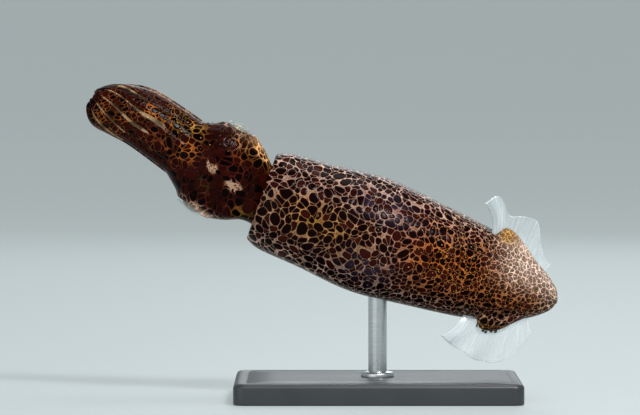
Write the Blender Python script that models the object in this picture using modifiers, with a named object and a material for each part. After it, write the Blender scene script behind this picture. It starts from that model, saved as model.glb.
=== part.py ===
"""A life-size pygmy squid, banked with its back to the viewer, on a plain display stand.

Metres, +Z up. The animal's own axes are X forward, Y to its left and Z towards its back.
"""

import math

import bmesh
import bpy
import numpy as np
from mathutils import Matrix, Vector

MM = 0.001
GAP = 0.3 * MM

# Pose: the mantle's front centre in the world, and how far each axis climbs to the left
MANTLE_FRONT = (-4.23 * MM, 0.0, 14.14 * MM)
MANTLE_CLIMB = 19.6
HEAD_BEND = 12.6
CROWN_BEND = -3.9

# Mantle: distance behind the front edge and half width
MANTLE_LENGTH = 22.0
MANTLE_OUTSIDE = [
    (0.0, 3.05), (0.22, 3.24), (1.2, 3.56), (4.0, 3.78), (8.0, 4.17), (12.0, 3.79),
    (16.0, 3.27), (18.6, 2.62), (20.4, 1.78), (21.6, 0.85), (MANTLE_LENGTH, 0.1),
]
MANTLE_INSIDE = [(3.3, 0.2), (3.2, 1.7), (2.7, 2.5), (1.5, 2.78), (0.4, 2.76), (0.04, 2.9)]
MANTLE_RINGS = 26
CAVITY_RINGS = 9
CLEARANCE_RINGS = 40
BACK_DEPTH = 0.90
BELLY_DEPTH = 0.98
RIM_NOTCH = 0.55
RIM_NOTCH_SPREAD = 0.6
RIM_NOTCH_REACH = 1.4

# Head: distance in front of the mantle's edge, half width, depth to the back and to the belly
HEAD_STATIONS = [
    (-2.6, 1.70, 1.30, 1.20), (-1.0, 1.95, 1.55, 1.45), (0.3, 2.12, 1.72, 1.60),
    (1.3, 2.75, 1.95, 1.85), (2.3, 3.18, 2.18, 2.12), (3.5, 3.38, 2.32, 2.32),
    (4.6, 3.14, 2.26, 2.26), (5.5, 2.66, 2.12, 2.12), (6.1, 2.34, 2.02, 2.02),
]
HEAD_SQUARENESS = 2.4
HEAD_RINGS = 18
HEAD_FACE = HEAD_STATIONS[-1][0]

# Eyes, set in the head's sides under a raised lid
EYE_PLACE = (3.75, 2.65, 0.1)
EYE_RADIUS = 1.0
EYE_HALF_THICKNESS = 0.8
EYE_SEGMENTS = 20
EYE_RINGS = 12
LID_RADIUS = 1.32
LID_THICKNESS = 0.2
LID_SINK = 0.08
LID_HEAVIER_ABOVE = 0.3
LID_LEAN = 0.35
LID_STEPS = 24

# Funnel, under the head: place along the head, drop below its axis, half width, half height
FUNNEL_STATIONS = [
    (-2.0, -1.55, 1.15, 0.42), (-0.6, -1.66, 1.15, 0.5), (0.8, -1.85, 1.0, 0.58),
    (2.2, -2.12, 0.82, 0.6), (3.4, -2.38, 0.66, 0.55),
]
FUNNEL_SIDES = 16
FUNNEL_RINGS = 11
FUNNEL_WALL = 0.3
FUNNEL_LIP = 0.06
# Depth into the funnel's tip and share of the bore's size there
FUNNEL_BORE = [(0.02, 1.05), (0.55, 1.0), (1.1, 0.9), (1.2, 0.3)]
GROOVE_START = 2.0
GROOVE_END = [(0.35, 0.0, 0.95), (0.8, -0.15, 0.7), (1.2, -0.35, 0.35)]

# Mouth, in the middle of the head's front face
MOUTH_LIFT = 0.2
LIP_RADIUS = 0.33
LIP_THICKNESS = 0.12
LIP_STEPS = 14

# Arm crown: share of its length, share of its girth, and drift to the animal's left
CROWN_LENGTH = 7.5
CROWN_HALF_WIDTH = 2.22
CROWN_HALF_DEPTH = 2.0
CROWN_STATIONS = [
    (0.0, 1.0, -0.05), (0.25, 0.98, -0.3), (0.5, 0.94, -0.45), (0.7, 0.87, -0.27),
    (0.82, 0.77, -0.04), (0.9, 0.63, 0.09), (0.965, 0.43, 0.08), (1.0, 0.25, -0.08),
]
CROWN_ROLL = -18.0
# Each pair's place from the middle of the back, as shares of half the way round, and its reach
ARM_PAIRS = [(0.0, 0.165, 0.96), (0.165, 0.34, 1.0), (0.34, 0.575, 0.975), (0.72, 1.0, 0.93)]
ARM_WIDEST = 0.52
ARM_NARROWEST = 0.07
ARM_GAP = 0.25
ARM_HALF_DEPTH = 0.44
ARM_TAPER = 0.3
ARM_WEDGE = 0.38
ARM_SQUARENESS = 0.6
ARM_SIDES = 10
ARM_RINGS = 15
ARM_RING_CROWDING = 0.85
# How suddenly an arm's end rounds off, and the least share of its size left there
ARM_END = (7, 0.17)
SUCKERS_A_ROW = 8
SUCKER_SPAN = (0.08, 0.93)
SUCKER_RADIUS = 0.17
SUCKER_SHRINK = 0.5
SUCKER_SIDES = 6
SUCKER_SLANT = 27.0
SUCKER_SPLAY = 0.35
# A sucker's size and height, as shares of its radius, from its sunken root to the bottom of its cup
SUCKER_LEVELS = [(0.75, -0.8), (1.0, 0.75), (0.55, 0.9), (0.2, 0.35)]

# Tentacles, drawn back inside the crown: place along it, distance from its middle, drop, radius
TENTACLE_STATIONS = [
    (0.32, 0.92, -0.62, 0.23), (1.3, 0.85, -0.58, 0.23), (2.6, 0.7, -0.5, 0.21),
    (4.0, 0.55, -0.4, 0.2), (4.8, 0.48, -0.34, 0.25), (5.6, 0.42, -0.3, 0.2), (5.9, 0.4, -0.28, 0.06),
]
TENTACLE_SIDES = 8
TENTACLE_RINGS = 16

# Fins: root along the mantle, then how each one fans out between its front and its rear edge
FIN_ROOT = (16.1, 20.3)
FIN_ROOT_LIFT = 24.0
FIN_ROOT_SINK = 0.7
FIN_COLUMNS = 17
FIN_ROWS = 8
FIN_LOBE_THICKNESS = 1.1
FIN_LOBE_REACH = 0.6
FIN_LOBE_FADE = 6.0
FIN_THICKNESS = 0.5
FIN_RIM_THICKNESS = 0.3
FIN_RIDGES = 6
FIN_RIDGE_HEIGHT = 0.05
FIN_BEND = 0.7
# Share of the root, reach, sweep forward in degrees, lift towards the back in degrees
FIN_RIGHT_FAN = [
    (0.0, 2.9, 40.0, 52.0), (0.12, 3.2, 29.0, 42.0), (0.24, 1.9, 16.0, 14.0), (0.36, 2.1, 2.0, 4.0),
    (0.47, 2.3, -4.0, 0.0), (0.58, 2.4, -8.0, -2.0), (0.7, 1.75, -7.0, -4.0), (0.8, 1.2, -6.0, -4.0),
    (0.9, 0.75, -14.0, 0.0), (1.0, 0.6, -30.0, 4.0),
]
FIN_LEFT_FAN = [
    (0.0, 2.9, 34.0, 58.0), (0.14, 2.7, 26.0, 44.0), (0.3, 2.75, 13.0, 10.0), (0.5, 3.15, 3.0, 0.0),
    (0.7, 3.15, -6.0, -8.0), (0.9, 2.2, -24.0, 0.0), (1.0, 1.0, -42.0, 6.0),
]

# Stand
BASE_CENTRE_X = 3.9
BASE_SIZE = (20.0, 14.0, 1.5)
BASE_BEVEL = 0.4
ROD_RADIUS = 0.65
ROD_SIDES = 24
ROD_SINK = 2.0

SIDES = 32
SHARP_ANGLE = 50.0
# Each material's colour, roughness and metallic
LOOKS = {
    "mantle_skin": ((0.16, 0.07, 0.05), 0.35, 0.0),
    "head_skin": ((0.13, 0.05, 0.03), 0.35, 0.0),
    "arm_skin": ((0.2, 0.09, 0.05), 0.35, 0.0),
    "fin_membrane": ((0.62, 0.72, 0.72), 0.2, 0.0),
    "eye": ((0.04, 0.04, 0.05), 0.1, 0.0),
    "stand_rod": ((0.6, 0.6, 0.6), 0.3, 1.0),
    "stand_base": ((0.06, 0.065, 0.07), 0.4, 0.0),
}


def smooth(stations, count):
    """A Catmull-Rom curve through the stations, read at count even steps."""
    knots = np.array(stations, float)
    knots = np.vstack([2 * knots[0] - knots[1], knots, 2 * knots[-1] - knots[-2]])
    place = np.linspace(0, len(stations) - 1, count)
    index = np.minimum(place.astype(int), len(stations) - 2)
    t = (place - index)[:, None]
    a, b, c, d = (knots[index + k] for k in range(4))
    return 0.5 * (2 * b + (c - a) * t + (2 * a - 5 * b + 4 * c - d) * t**2 + (3 * b - a - 3 * c + d) * t**3)


def read(stations, place):
    """The smooth curve's other columns where its first column has this value."""
    fine = smooth(stations, 400)
    order = np.argsort(fine[:, 0])
    return np.array([np.interp(place, fine[order, 0], fine[order, k]) for k in range(1, fine.shape[1])])


def unit(vectors):
    return vectors / np.linalg.norm(vectors, axis=-1, keepdims=True)


def material(name):
    """A Principled material with the slot's colour and finish."""
    color, roughness, metallic = LOOKS[name]
    made = bpy.data.materials.get(name) or bpy.data.materials.new(name)
    made.use_nodes = True
    shader = made.node_tree.nodes["Principled BSDF"]
    shader.inputs["Base Color"].default_value = (*color, 1.0)
    shader.inputs["Roughness"].default_value = roughness
    shader.inputs["Metallic"].default_value = metallic
    return made


def add_object(name, mesh, parent=None, collection=None):
    """Links the mesh as an object that follows its parent's frame."""
    obj = bpy.data.objects.new(name, mesh)
    (collection or squid).objects.link(obj)
    obj.parent = parent
    return obj


def adopt(name):
    """Names the primitive that was just added, and moves it to the squid's collection."""
    obj = bpy.context.object
    obj.name = obj.data.name = name
    for collection in list(obj.users_collection):
        collection.objects.unlink(obj)
    squid.objects.link(obj)
    return obj


def finish(obj, slot):
    """Gives a finished node its material and smooth shading."""
    obj.data.materials.clear()
    obj.data.materials.append(material(slot))
    obj.data.shade_smooth()
    obj.data.set_sharp_from_angle(angle=math.radians(SHARP_ANGLE))
    return obj


def mesh_of(name, points, faces):
    """A mesh from points in millimetres, with its faces turned outwards."""
    mesh = bpy.data.meshes.new(name)
    mesh.from_pydata([Vector(p) * MM for p in points], [], faces)
    bm = bmesh.new()
    bm.from_mesh(mesh)
    bmesh.ops.recalc_face_normals(bm, faces=bm.faces)
    bm.to_mesh(mesh)
    bm.free()
    return mesh


def loft(name, rings):
    """A closed mesh through a row of rings, with a flat cap on each end ring."""
    count, sides = len(rings), len(rings[0])
    faces = [list(range(sides)), list(range((count - 1) * sides, count * sides))]
    for i in range(count - 1):
        for j in range(sides):
            k = (j + 1) % sides
            faces.append([i * sides + j, i * sides + k, (i + 1) * sides + k, (i + 1) * sides + j])
    return mesh_of(name, np.concatenate(rings), faces)


def plate(name, middle, half):
    """A thin closed plate about a grid of points, cut into the same triangles on both faces."""
    rows, columns = middle.shape[:2]
    under = rows * columns
    faces = []
    for i in range(rows - 1):
        for j in range(columns - 1):
            a, b = i * columns + j, i * columns + j + 1
            d, c = a + columns, b + columns
            for p, q, r in ((a, b, c), (a, c, d)):
                faces += [[p, q, r], [under + p, under + r, under + q]]
    rim = list(range(columns))
    rim += [i * columns + columns - 1 for i in range(1, rows)]
    rim += [(rows - 1) * columns + j for j in range(columns - 2, -1, -1)]
    rim += [i * columns for i in range(rows - 2, 0, -1)]
    for p, q in zip(rim, rim[1:] + rim[:1]):
        faces += [[p, under + p, q], [q, under + p, under + q]]
    points = np.concatenate([(middle + half).reshape(-1, 3), (middle - half).reshape(-1, 3)])
    return mesh_of(name, points, faces)


def keep_largest(mesh):
    """Drops every closed surface but the one with the most faces."""
    bm = bmesh.new()
    bm.from_mesh(mesh)
    islands, seen = [], set()
    for start in bm.faces:
        if start in seen:
            continue
        seen.add(start)
        island, front = [start], [start]
        while front:
            near = {f for edge in front.pop().edges for f in edge.link_faces} - seen
            seen |= near
            island += near
            front += near
        islands.append(island)
    islands.sort(key=len)
    for island in islands[:-1]:
        bmesh.ops.delete(bm, geom=island, context="FACES")
    bm.to_mesh(mesh)
    bm.free()


def combine(obj, operation, tools):
    """Joins the tools to the object, or cuts them from it, and removes them."""
    group = bpy.data.collections.new("tools")
    cutters.children.link(group)
    for tool in tools:
        cutters.objects.unlink(tool)
        group.objects.link(tool)
    boolean = obj.modifiers.new(operation, "BOOLEAN")
    boolean.operation = operation
    boolean.operand_type = "COLLECTION"
    boolean.collection = group
    boolean.solver = "EXACT"
    bpy.context.view_layer.update()
    evaluated = obj.evaluated_get(bpy.context.evaluated_depsgraph_get())
    mesh = bpy.data.meshes.new_from_object(evaluated)
    obj.modifiers.clear()
    obj.data = mesh
    keep_largest(mesh)
    for tool in tools:
        bpy.data.objects.remove(tool)
    bpy.data.collections.remove(group)


def helper(name, mesh, parent=None):
    """An object that shapes others and is left out itself."""
    obj = add_object(name, mesh, parent, cutters)
    obj.hide_render = True
    obj.display_type = "WIRE"
    return obj


def frame(name, parent, location, turn):
    """An empty whose X axis is turned to the animal's right by this many degrees."""
    empty = bpy.data.objects.new(name, None)
    squid.objects.link(empty)
    empty.parent = parent
    empty.location = Vector(location) * MM
    empty.rotation_euler = (0.0, 0.0, -math.radians(turn))
    return empty


def posture_frame():
    """The mantle's frame: head end up to the left, back towards the viewer."""
    climb = math.radians(MANTLE_CLIMB)
    forward = Vector((-math.cos(climb), 0.0, math.sin(climb)))
    back = Vector((0.0, -1.0, 0.0))
    empty = bpy.data.objects.new("posture", None)
    squid.objects.link(empty)
    turn = Matrix((forward, back.cross(forward), back)).transposed()
    empty.matrix_world = Matrix.Translation(MANTLE_FRONT) @ turn.to_4x4()
    return empty


def mantle_ring(behind, half_width, grow=0.0):
    """One ring of the mantle, notched under the funnel near the front edge."""
    angle = np.linspace(0, 2 * math.pi, SIDES, endpoint=False)
    depth = np.where(np.sin(angle) > 0, BACK_DEPTH, BELLY_DEPTH)
    below = np.exp(-(((angle - 1.5 * math.pi) / RIM_NOTCH_SPREAD) ** 2))
    x = -behind - RIM_NOTCH * below * math.exp(-max(behind, 0) / RIM_NOTCH_REACH)
    radius = half_width + grow
    return np.stack([x, radius * np.cos(angle), radius * depth * np.sin(angle)], axis=1)


def make_mantle(posture):
    """The mantle: a pointed sack, open in front round the neck and the funnel."""
    profile = np.vstack([smooth(MANTLE_INSIDE, CAVITY_RINGS), smooth(MANTLE_OUTSIDE, MANTLE_RINGS)])
    mantle = add_object("mantle", loft("mantle", [mantle_ring(x, r) for x, r in profile]), posture)
    return finish(mantle, "mantle_skin")


def mantle_clearance(posture):
    """The mantle's outside, one gap larger, to shape what meets it."""
    gap = GAP / MM
    profile = smooth(MANTLE_OUTSIDE, CLEARANCE_RINGS)
    profile[-1, 0] += gap
    rings = [mantle_ring(x, r, gap) for x, r in profile]
    return helper("mantle_clearance", loft("mantle_clearance", rings), posture)


def head_ring(x, half_width, back, belly):
    """A rounded, slightly square ring across the head."""
    angle = np.linspace(0, 2 * math.pi, SIDES, endpoint=False)
    power = 2 / HEAD_SQUARENESS
    across = np.sign(np.cos(angle)) * np.abs(np.cos(angle)) ** power
    up = np.sign(np.sin(angle)) * np.abs(np.sin(angle)) ** power
    depth = np.where(up > 0, back, belly)
    return np.stack([np.full(SIDES, x), half_width * across, depth * up], axis=1)


def make_socket(place, radii, parent):
    """An ellipsoid that hollows a socket."""
    bm = bmesh.new()
    bmesh.ops.create_uvsphere(bm, u_segments=EYE_SEGMENTS, v_segments=EYE_RINGS, radius=1.0)
    bmesh.ops.scale(bm, vec=Vector(radii) * MM, verts=bm.verts)
    bmesh.ops.translate(bm, vec=Vector(place) * MM, verts=bm.verts)
    mesh = bpy.data.meshes.new("socket")
    bm.to_mesh(mesh)
    bm.free()
    return helper("socket", mesh, parent)


def hoop(name, centres, outward, thickness, parent, sides=8):
    """A closed ring of round section through the centres, with its own thickness at each."""
    steps = len(centres)
    points = []
    for centre, out, thick in zip(centres, outward, thickness):
        along = unit(np.cross(out, centre - centres.mean(axis=0)))
        away = np.cross(along, out)
        for roll in np.linspace(0, 2 * math.pi, sides, endpoint=False):
            points.append(centre + thick * (math.cos(roll) * out + math.sin(roll) * away))
    faces = []
    for i in range(steps):
        n = (i + 1) % steps
        for j in range(sides):
            k = (j + 1) % sides
            faces.append([i * sides + j, i * sides + k, n * sides + k, n * sides + j])
    return helper(name, mesh_of(name, points, faces), parent)


def make_lid(side, head_frame):
    """The raised rim round an eye, laid on the head's surface and heavier above."""
    turn = np.linspace(0, 2 * math.pi, LID_STEPS, endpoint=False)
    x = EYE_PLACE[0] + LID_RADIUS * np.cos(turn)
    z = EYE_PLACE[2] + LID_RADIUS * np.sin(turn)
    half_width, back, belly = read(HEAD_STATIONS, x)
    share = np.abs(z) / np.where(z > 0, back, belly)
    y = (half_width * (1 - share**HEAD_SQUARENESS) ** (1 / HEAD_SQUARENESS) - LID_SINK) * side
    centres = np.stack([x, y, z], axis=1)
    outward = unit(np.stack([0 * x, np.full(LID_STEPS, side), LID_LEAN * z], axis=1))
    thickness = LID_THICKNESS * (1 + LID_HEAVIER_ABOVE * np.sin(turn))
    return hoop("lid", centres, outward, thickness, head_frame)


def make_lips(head_frame):
    """The round lip of the mouth, on the head's front face."""
    turn = np.linspace(0, 2 * math.pi, LIP_STEPS, endpoint=False)
    centres = np.stack([np.full(LIP_STEPS, HEAD_FACE), LIP_RADIUS * np.cos(turn),
                        MOUTH_LIFT + LIP_RADIUS * np.sin(turn)], axis=1)
    forward = np.tile((1.0, 0.0, 0.0), (LIP_STEPS, 1))
    return hoop("lips", centres, forward, np.full(LIP_STEPS, LIP_THICKNESS), head_frame, sides=6)


def funnel_rings(stations, grow=0.0):
    """Rings along the funnel, each square to the way it runs."""
    path = np.array([(x, 0.0, z) for x, z, _, _ in stations])
    along = unit(np.gradient(path, axis=0))
    angle = np.linspace(0, 2 * math.pi, FUNNEL_SIDES, endpoint=False)[:, None]
    left = np.array((0.0, 1.0, 0.0))
    rings = []
    for place, way, (_, _, wide, high) in zip(path, along, stations):
        up = np.cross(left, way)
        rings.append(place + np.cos(angle) * (wide + grow) * left + np.sin(angle) * (high + grow) * up)
    return rings


def make_funnel(head_frame):
    """The funnel: a flattened tube that opens forward under the head."""
    stations = smooth(FUNNEL_STATIONS, FUNNEL_RINGS)
    outside = funnel_rings(stations)
    tip = outside[-1].mean(axis=0)
    way = unit(tip - outside[-2].mean(axis=0))
    share = 1 - FUNNEL_WALL / FUNNEL_STATIONS[-1][3]
    lip = tip + way * FUNNEL_LIP + (outside[-1] - tip) * (1 + share) / 2
    bore = [tip - way * depth + (outside[-1] - tip) * share * size for depth, size in FUNNEL_BORE]
    funnel = add_object("funnel", loft("funnel", [*outside, lip, *bore]), head_frame)
    return finish(funnel, "head_skin")


def funnel_clearance(head_frame):
    """The funnel's shape, one gap larger, for the groove that it lies in, which fades out in front."""
    stations = smooth(FUNNEL_STATIONS, FUNNEL_RINGS)
    tip_x, tip_z, wide, high = stations[-1]
    front = [(tip_x + x, tip_z + z, wide * size, high * size) for x, z, size in GROOVE_END]
    back = stations[0] - (GROOVE_START, 0, 0, 0)
    rings = funnel_rings(np.vstack([back, stations, front]), GAP / MM)
    return helper("funnel_clearance", loft("funnel_clearance", rings), head_frame)


def make_head(head_frame):
    """The head and neck, with lidded sockets, the funnel's groove below and the mouth in front."""
    rings = [head_ring(*station) for station in smooth(HEAD_STATIONS, HEAD_RINGS)]
    head = add_object("head", loft("head", rings), head_frame)
    x, y, z = EYE_PLACE
    combine(head, "UNION", [make_lid(-1, head_frame), make_lid(1, head_frame), make_lips(head_frame)])
    gap = GAP / MM
    radii = (EYE_RADIUS + gap, EYE_HALF_THICKNESS + gap, EYE_RADIUS + gap)
    sockets = [make_socket((x, side * y, z), radii, head_frame) for side in (-1, 1)]
    combine(head, "DIFFERENCE", [*sockets, funnel_clearance(head_frame)])
    return finish(head, "head_skin")


def make_eyes(head_frame):
    """Two eyeballs, flattened from side to side."""
    x, y, z = EYE_PLACE
    for name, side in (("eye_left", 1), ("eye_right", -1)):
        bpy.ops.mesh.primitive_uv_sphere_add(segments=EYE_SEGMENTS, ring_count=EYE_RINGS,
                                             radius=EYE_RADIUS * MM)
        eye = adopt(name)
        eye.data.transform(Matrix.Diagonal((1.0, EYE_HALF_THICKNESS / EYE_RADIUS, 1.0, 1.0)))
        eye.parent = head_frame
        eye.location = Vector((x, side * y, z)) * MM
        finish(eye, "eye")


def place_round_crown(share):
    """The angle on the crown's ring at this share of half the way round, left of the middle of the back."""
    fine = np.linspace(1.5 * math.pi, -1.5 * math.pi, 721)
    wide, deep = CROWN_HALF_WIDTH - ARM_HALF_DEPTH, CROWN_HALF_DEPTH - ARM_HALF_DEPTH
    steps = np.hypot(np.diff(wide * np.cos(fine)), np.diff(deep * np.sin(fine)))
    length = np.concatenate([[0], np.cumsum(steps)])
    return np.interp((share + 1 - CROWN_ROLL / 180) * length[-1] / 3, length, fine)


def arm_section(turn):
    """An arm's section at these angles, for half sizes of 1: a rounded wedge, wider outside."""
    across = np.sign(np.cos(turn)) * np.abs(np.cos(turn)) ** ARM_SQUARENESS
    return across * (1 + ARM_WEDGE * np.sin(turn)), np.sin(turn)


def arm_frames(angle, sector, reach):
    """Centres and sizes along one arm, with its outward and sideways directions."""
    along = np.linspace(0, 1, ARM_RINGS) ** ARM_RING_CROWDING
    share = along * reach
    girth, drift = read(CROWN_STATIONS, share)
    end = np.sqrt(np.clip(1 - along ** ARM_END[0], ARM_END[1] ** 2, 1))
    half_depth = ARM_HALF_DEPTH * (1 - ARM_TAPER * along) * end
    wide = CROWN_HALF_WIDTH * girth - half_depth
    deep = CROWN_HALF_DEPTH * girth - half_depth
    room = (math.pi * (wide + deep) / 2 * sector - ARM_GAP) / 2
    half_width = np.clip(room, ARM_NARROWEST, ARM_WIDEST) * end
    y = wide * math.cos(angle)
    z = deep * math.sin(angle)
    face_slant = y * math.tan(math.radians(-CROWN_BEND)) * (1 - share) ** 2
    centre = np.stack([GAP / MM + face_slant + share * CROWN_LENGTH, y + drift, z], axis=1)
    forward = unit(np.gradient(centre, axis=0))
    outward = unit(np.stack([0 * y, math.cos(angle) / wide, math.sin(angle) / deep], axis=1))
    outward = unit(outward - (outward * forward).sum(1, keepdims=True) * forward)
    sideways = np.cross(forward, outward)
    return centre, half_width, half_depth, outward, sideways


def make_sucker(place, into, radius, parent):
    """A low cup that stands on the arm, its root sunk in the flesh."""
    side = unit(np.cross(into, (0.3, 0.5, 0.81)))
    other = np.cross(into, side)
    angle = np.linspace(0, 2 * math.pi, SUCKER_SIDES, endpoint=False)[:, None]
    around = np.cos(angle) * side + np.sin(angle) * other
    rings = [place + radius * (into * height + around * size) for size, height in SUCKER_LEVELS]
    return helper("sucker", loft("sucker", rings), parent)


def make_arm(name, angle, sector, reach, crown_frame):
    """One tapering arm, round on its outer face, with two rows of suckers on its inner face."""
    centre, half_width, half_depth, outward, sideways = arm_frames(angle, sector, reach)
    turn = np.linspace(0, 2 * math.pi, ARM_SIDES, endpoint=False)
    across, out = arm_section(turn)
    rings = [c + np.outer(across * w, s) + np.outer(out * d, o)
             for c, w, d, s, o in zip(centre, half_width, half_depth, sideways, outward)]
    arm = add_object(name, loft(name, rings), crown_frame)
    cups = []
    for row in (-1, 1):
        for number in range(SUCKERS_A_ROW):
            near, far = SUCKER_SPAN
            step = near + (far - near) * (number + 0.25 * (1 + row)) / SUCKERS_A_ROW
            at = step * (ARM_RINGS - 1)
            c, w, d, s, o = (np.array([np.interp(at, range(ARM_RINGS), v) for v in np.atleast_2d(line.T)])
                             for line in (centre, half_width, half_depth, sideways, outward))
            across, out = arm_section(math.radians(-90 + row * SUCKER_SLANT))
            place = c + s * across * w + o * out * d
            into = unit(-o + s * row * SUCKER_SPLAY)
            cups.append(make_sucker(place, into, SUCKER_RADIUS * (1 - SUCKER_SHRINK * step), crown_frame))
    combine(arm, "UNION", cups)
    return finish(arm, "arm_skin")


def make_tentacle(name, side, crown_frame):
    """A tentacle drawn back inside the crown, with its narrow club."""
    stations = smooth(TENTACLE_STATIONS, TENTACLE_RINGS)
    angle = np.linspace(0, 2 * math.pi, TENTACLE_SIDES, endpoint=False)
    rings = []
    for x, out, z, radius in stations:
        drift = read(CROWN_STATIONS, x / CROWN_LENGTH)[1]
        y = side * out + drift + radius * np.cos(angle)
        rings.append(np.stack([np.full(TENTACLE_SIDES, x), y, z + radius * np.sin(angle)], axis=1))
    return finish(add_object(name, loft(name, rings), crown_frame), "arm_skin")


def make_fin(name, side, fan, posture):
    """A rounded, rippling fin: thick and pigmented at its root, thin and clear beyond."""
    share = np.linspace(0, 1, FIN_COLUMNS)
    reach, sweep, lift = read(fan, share)
    sweep, lift = np.radians(sweep), np.radians(lift)
    behind = FIN_ROOT[0] + share * (FIN_ROOT[1] - FIN_ROOT[0])
    half_width = read(MANTLE_OUTSIDE, behind)[0] - FIN_ROOT_SINK
    root_lift = math.radians(FIN_ROOT_LIFT)
    root = np.stack([-behind, half_width * math.cos(root_lift) * side,
                     half_width * BACK_DEPTH * math.sin(root_lift)], axis=1)
    out = np.linspace(0, 1, FIN_ROWS)[:, None]
    bend = out**FIN_BEND
    direction = np.stack([np.sin(sweep) * bend, np.cos(sweep * bend) * np.cos(lift * bend) * side,
                          np.sin(lift * bend)], axis=2)
    length = reach + FIN_ROOT_SINK
    step = unit(direction) * (length / (FIN_ROWS - 1))[None, :, None]
    step[0] = 0
    middle = root[None] + np.cumsum(step, axis=0)
    across = np.gradient(middle, axis=1)
    outward = np.gradient(middle, axis=0)
    normal = unit(np.cross(across, outward))
    lobe = 1 / (1 + np.exp((out * length - FIN_ROOT_SINK - FIN_LOBE_REACH) * FIN_LOBE_FADE))
    thin = FIN_THICKNESS + (FIN_RIM_THICKNESS - FIN_THICKNESS) * out**2
    ridge = FIN_RIDGE_HEIGHT * np.sin(2 * math.pi * FIN_RIDGES * share)[None] * np.sin(math.pi * out)
    thick = thin + (FIN_LOBE_THICKNESS - FIN_THICKNESS) * lobe + ridge
    fin = add_object(name, plate(name, middle, normal * thick[..., None] / 2), posture)
    combine(fin, "DIFFERENCE", [mantle_clearance(posture)])
    return finish(fin, "fin_membrane")


def make_stand(posture):
    """A flat base and one short rod up to the mantle's lower side."""
    wide, deep, high = BASE_SIZE
    bpy.ops.mesh.primitive_cube_add(size=MM)
    base = adopt("stand_base")
    base.data.transform(Matrix.Diagonal((wide, deep, high, 1.0)))
    base.location = (BASE_CENTRE_X * MM, 0.0, high / 2 * MM)
    bevel = base.modifiers.new("soft edges", "BEVEL")
    bevel.width = BASE_BEVEL * MM
    bevel.segments = 2
    foot = high * MM + GAP
    top = MANTLE_FRONT[2] - math.tan(math.radians(MANTLE_CLIMB)) * (BASE_CENTRE_X * MM - MANTLE_FRONT[0])
    top -= ROD_SINK * MM
    bpy.ops.mesh.primitive_cylinder_add(vertices=ROD_SIDES, radius=ROD_RADIUS * MM, depth=top - foot)
    rod = adopt("stand_rod")
    rod.location = (BASE_CENTRE_X * MM, 0.0, (top + foot) / 2)
    combine(rod, "DIFFERENCE", [mantle_clearance(posture)])
    finish(base, "stand_base")
    finish(rod, "stand_rod")


for old in list(bpy.data.objects):
    bpy.data.objects.remove(old)
squid = bpy.data.collections.new("pygmy_squid")
cutters = bpy.data.collections.new("cutters")
for new in (squid, cutters):
    bpy.context.scene.collection.children.link(new)

posture_empty = posture_frame()
head_empty = frame("head_frame", posture_empty, (0.0, 0.0, 0.0), HEAD_BEND)
crown_empty = frame("crown_frame", head_empty, (HEAD_FACE, 0.0, 0.0), CROWN_BEND)

make_mantle(posture_empty)
make_head(head_empty)
make_eyes(head_empty)
make_funnel(head_empty)
for word, way in (("left", 1), ("right", -1)):
    for number, (start, end, arm_reach) in enumerate(ARM_PAIRS, start=1):
        arm_angle = place_round_crown(way * (start + end) / 2)
        make_arm(f"arm_{word}_{number}", arm_angle, end - start, arm_reach, crown_empty)
    make_tentacle(f"tentacle_{word}", way, crown_empty)
make_fin("fin_left", 1, FIN_LEFT_FAN, posture_empty)
make_fin("fin_right", -1, FIN_RIGHT_FAN, posture_empty)
make_stand(posture_empty)
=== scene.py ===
import math
from functools import partial

import bmesh
import bpy
import numpy as np
from mathutils import Matrix, Vector


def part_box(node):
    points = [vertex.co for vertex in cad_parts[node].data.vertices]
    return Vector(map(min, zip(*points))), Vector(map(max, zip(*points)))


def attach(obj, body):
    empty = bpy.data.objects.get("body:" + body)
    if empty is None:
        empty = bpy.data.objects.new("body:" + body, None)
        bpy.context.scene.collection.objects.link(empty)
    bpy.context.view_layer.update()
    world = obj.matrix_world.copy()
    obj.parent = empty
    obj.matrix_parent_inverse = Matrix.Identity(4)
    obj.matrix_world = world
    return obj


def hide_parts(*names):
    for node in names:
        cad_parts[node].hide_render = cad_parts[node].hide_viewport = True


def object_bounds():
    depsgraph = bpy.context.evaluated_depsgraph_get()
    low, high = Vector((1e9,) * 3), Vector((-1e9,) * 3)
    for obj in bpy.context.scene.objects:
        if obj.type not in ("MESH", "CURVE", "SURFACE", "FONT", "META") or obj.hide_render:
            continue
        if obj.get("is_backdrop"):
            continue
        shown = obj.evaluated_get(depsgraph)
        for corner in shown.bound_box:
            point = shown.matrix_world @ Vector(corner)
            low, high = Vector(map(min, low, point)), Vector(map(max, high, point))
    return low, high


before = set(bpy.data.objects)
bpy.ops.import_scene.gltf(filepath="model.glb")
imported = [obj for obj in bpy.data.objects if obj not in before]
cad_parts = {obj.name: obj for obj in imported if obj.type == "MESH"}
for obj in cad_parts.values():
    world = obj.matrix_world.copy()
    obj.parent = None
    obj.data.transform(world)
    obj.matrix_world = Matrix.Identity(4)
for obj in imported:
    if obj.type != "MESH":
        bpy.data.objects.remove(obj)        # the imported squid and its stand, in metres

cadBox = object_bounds()
mm = 0.001

# How the animal lies: the mantle's front centre in the world, how far the mantle climbs to the left,
# and how far the head and then the arm crown turn from that line, to the animal's right, in degrees
pose = {
    "mantleFront": (-4.23, 0.0, 14.14),
    "mantleClimb": 19.6,
    "headBend": 12.6,
    "crownBend": -3.9,
    "headLength": 6.1,
}


# Working with curves, frames and grids

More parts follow.
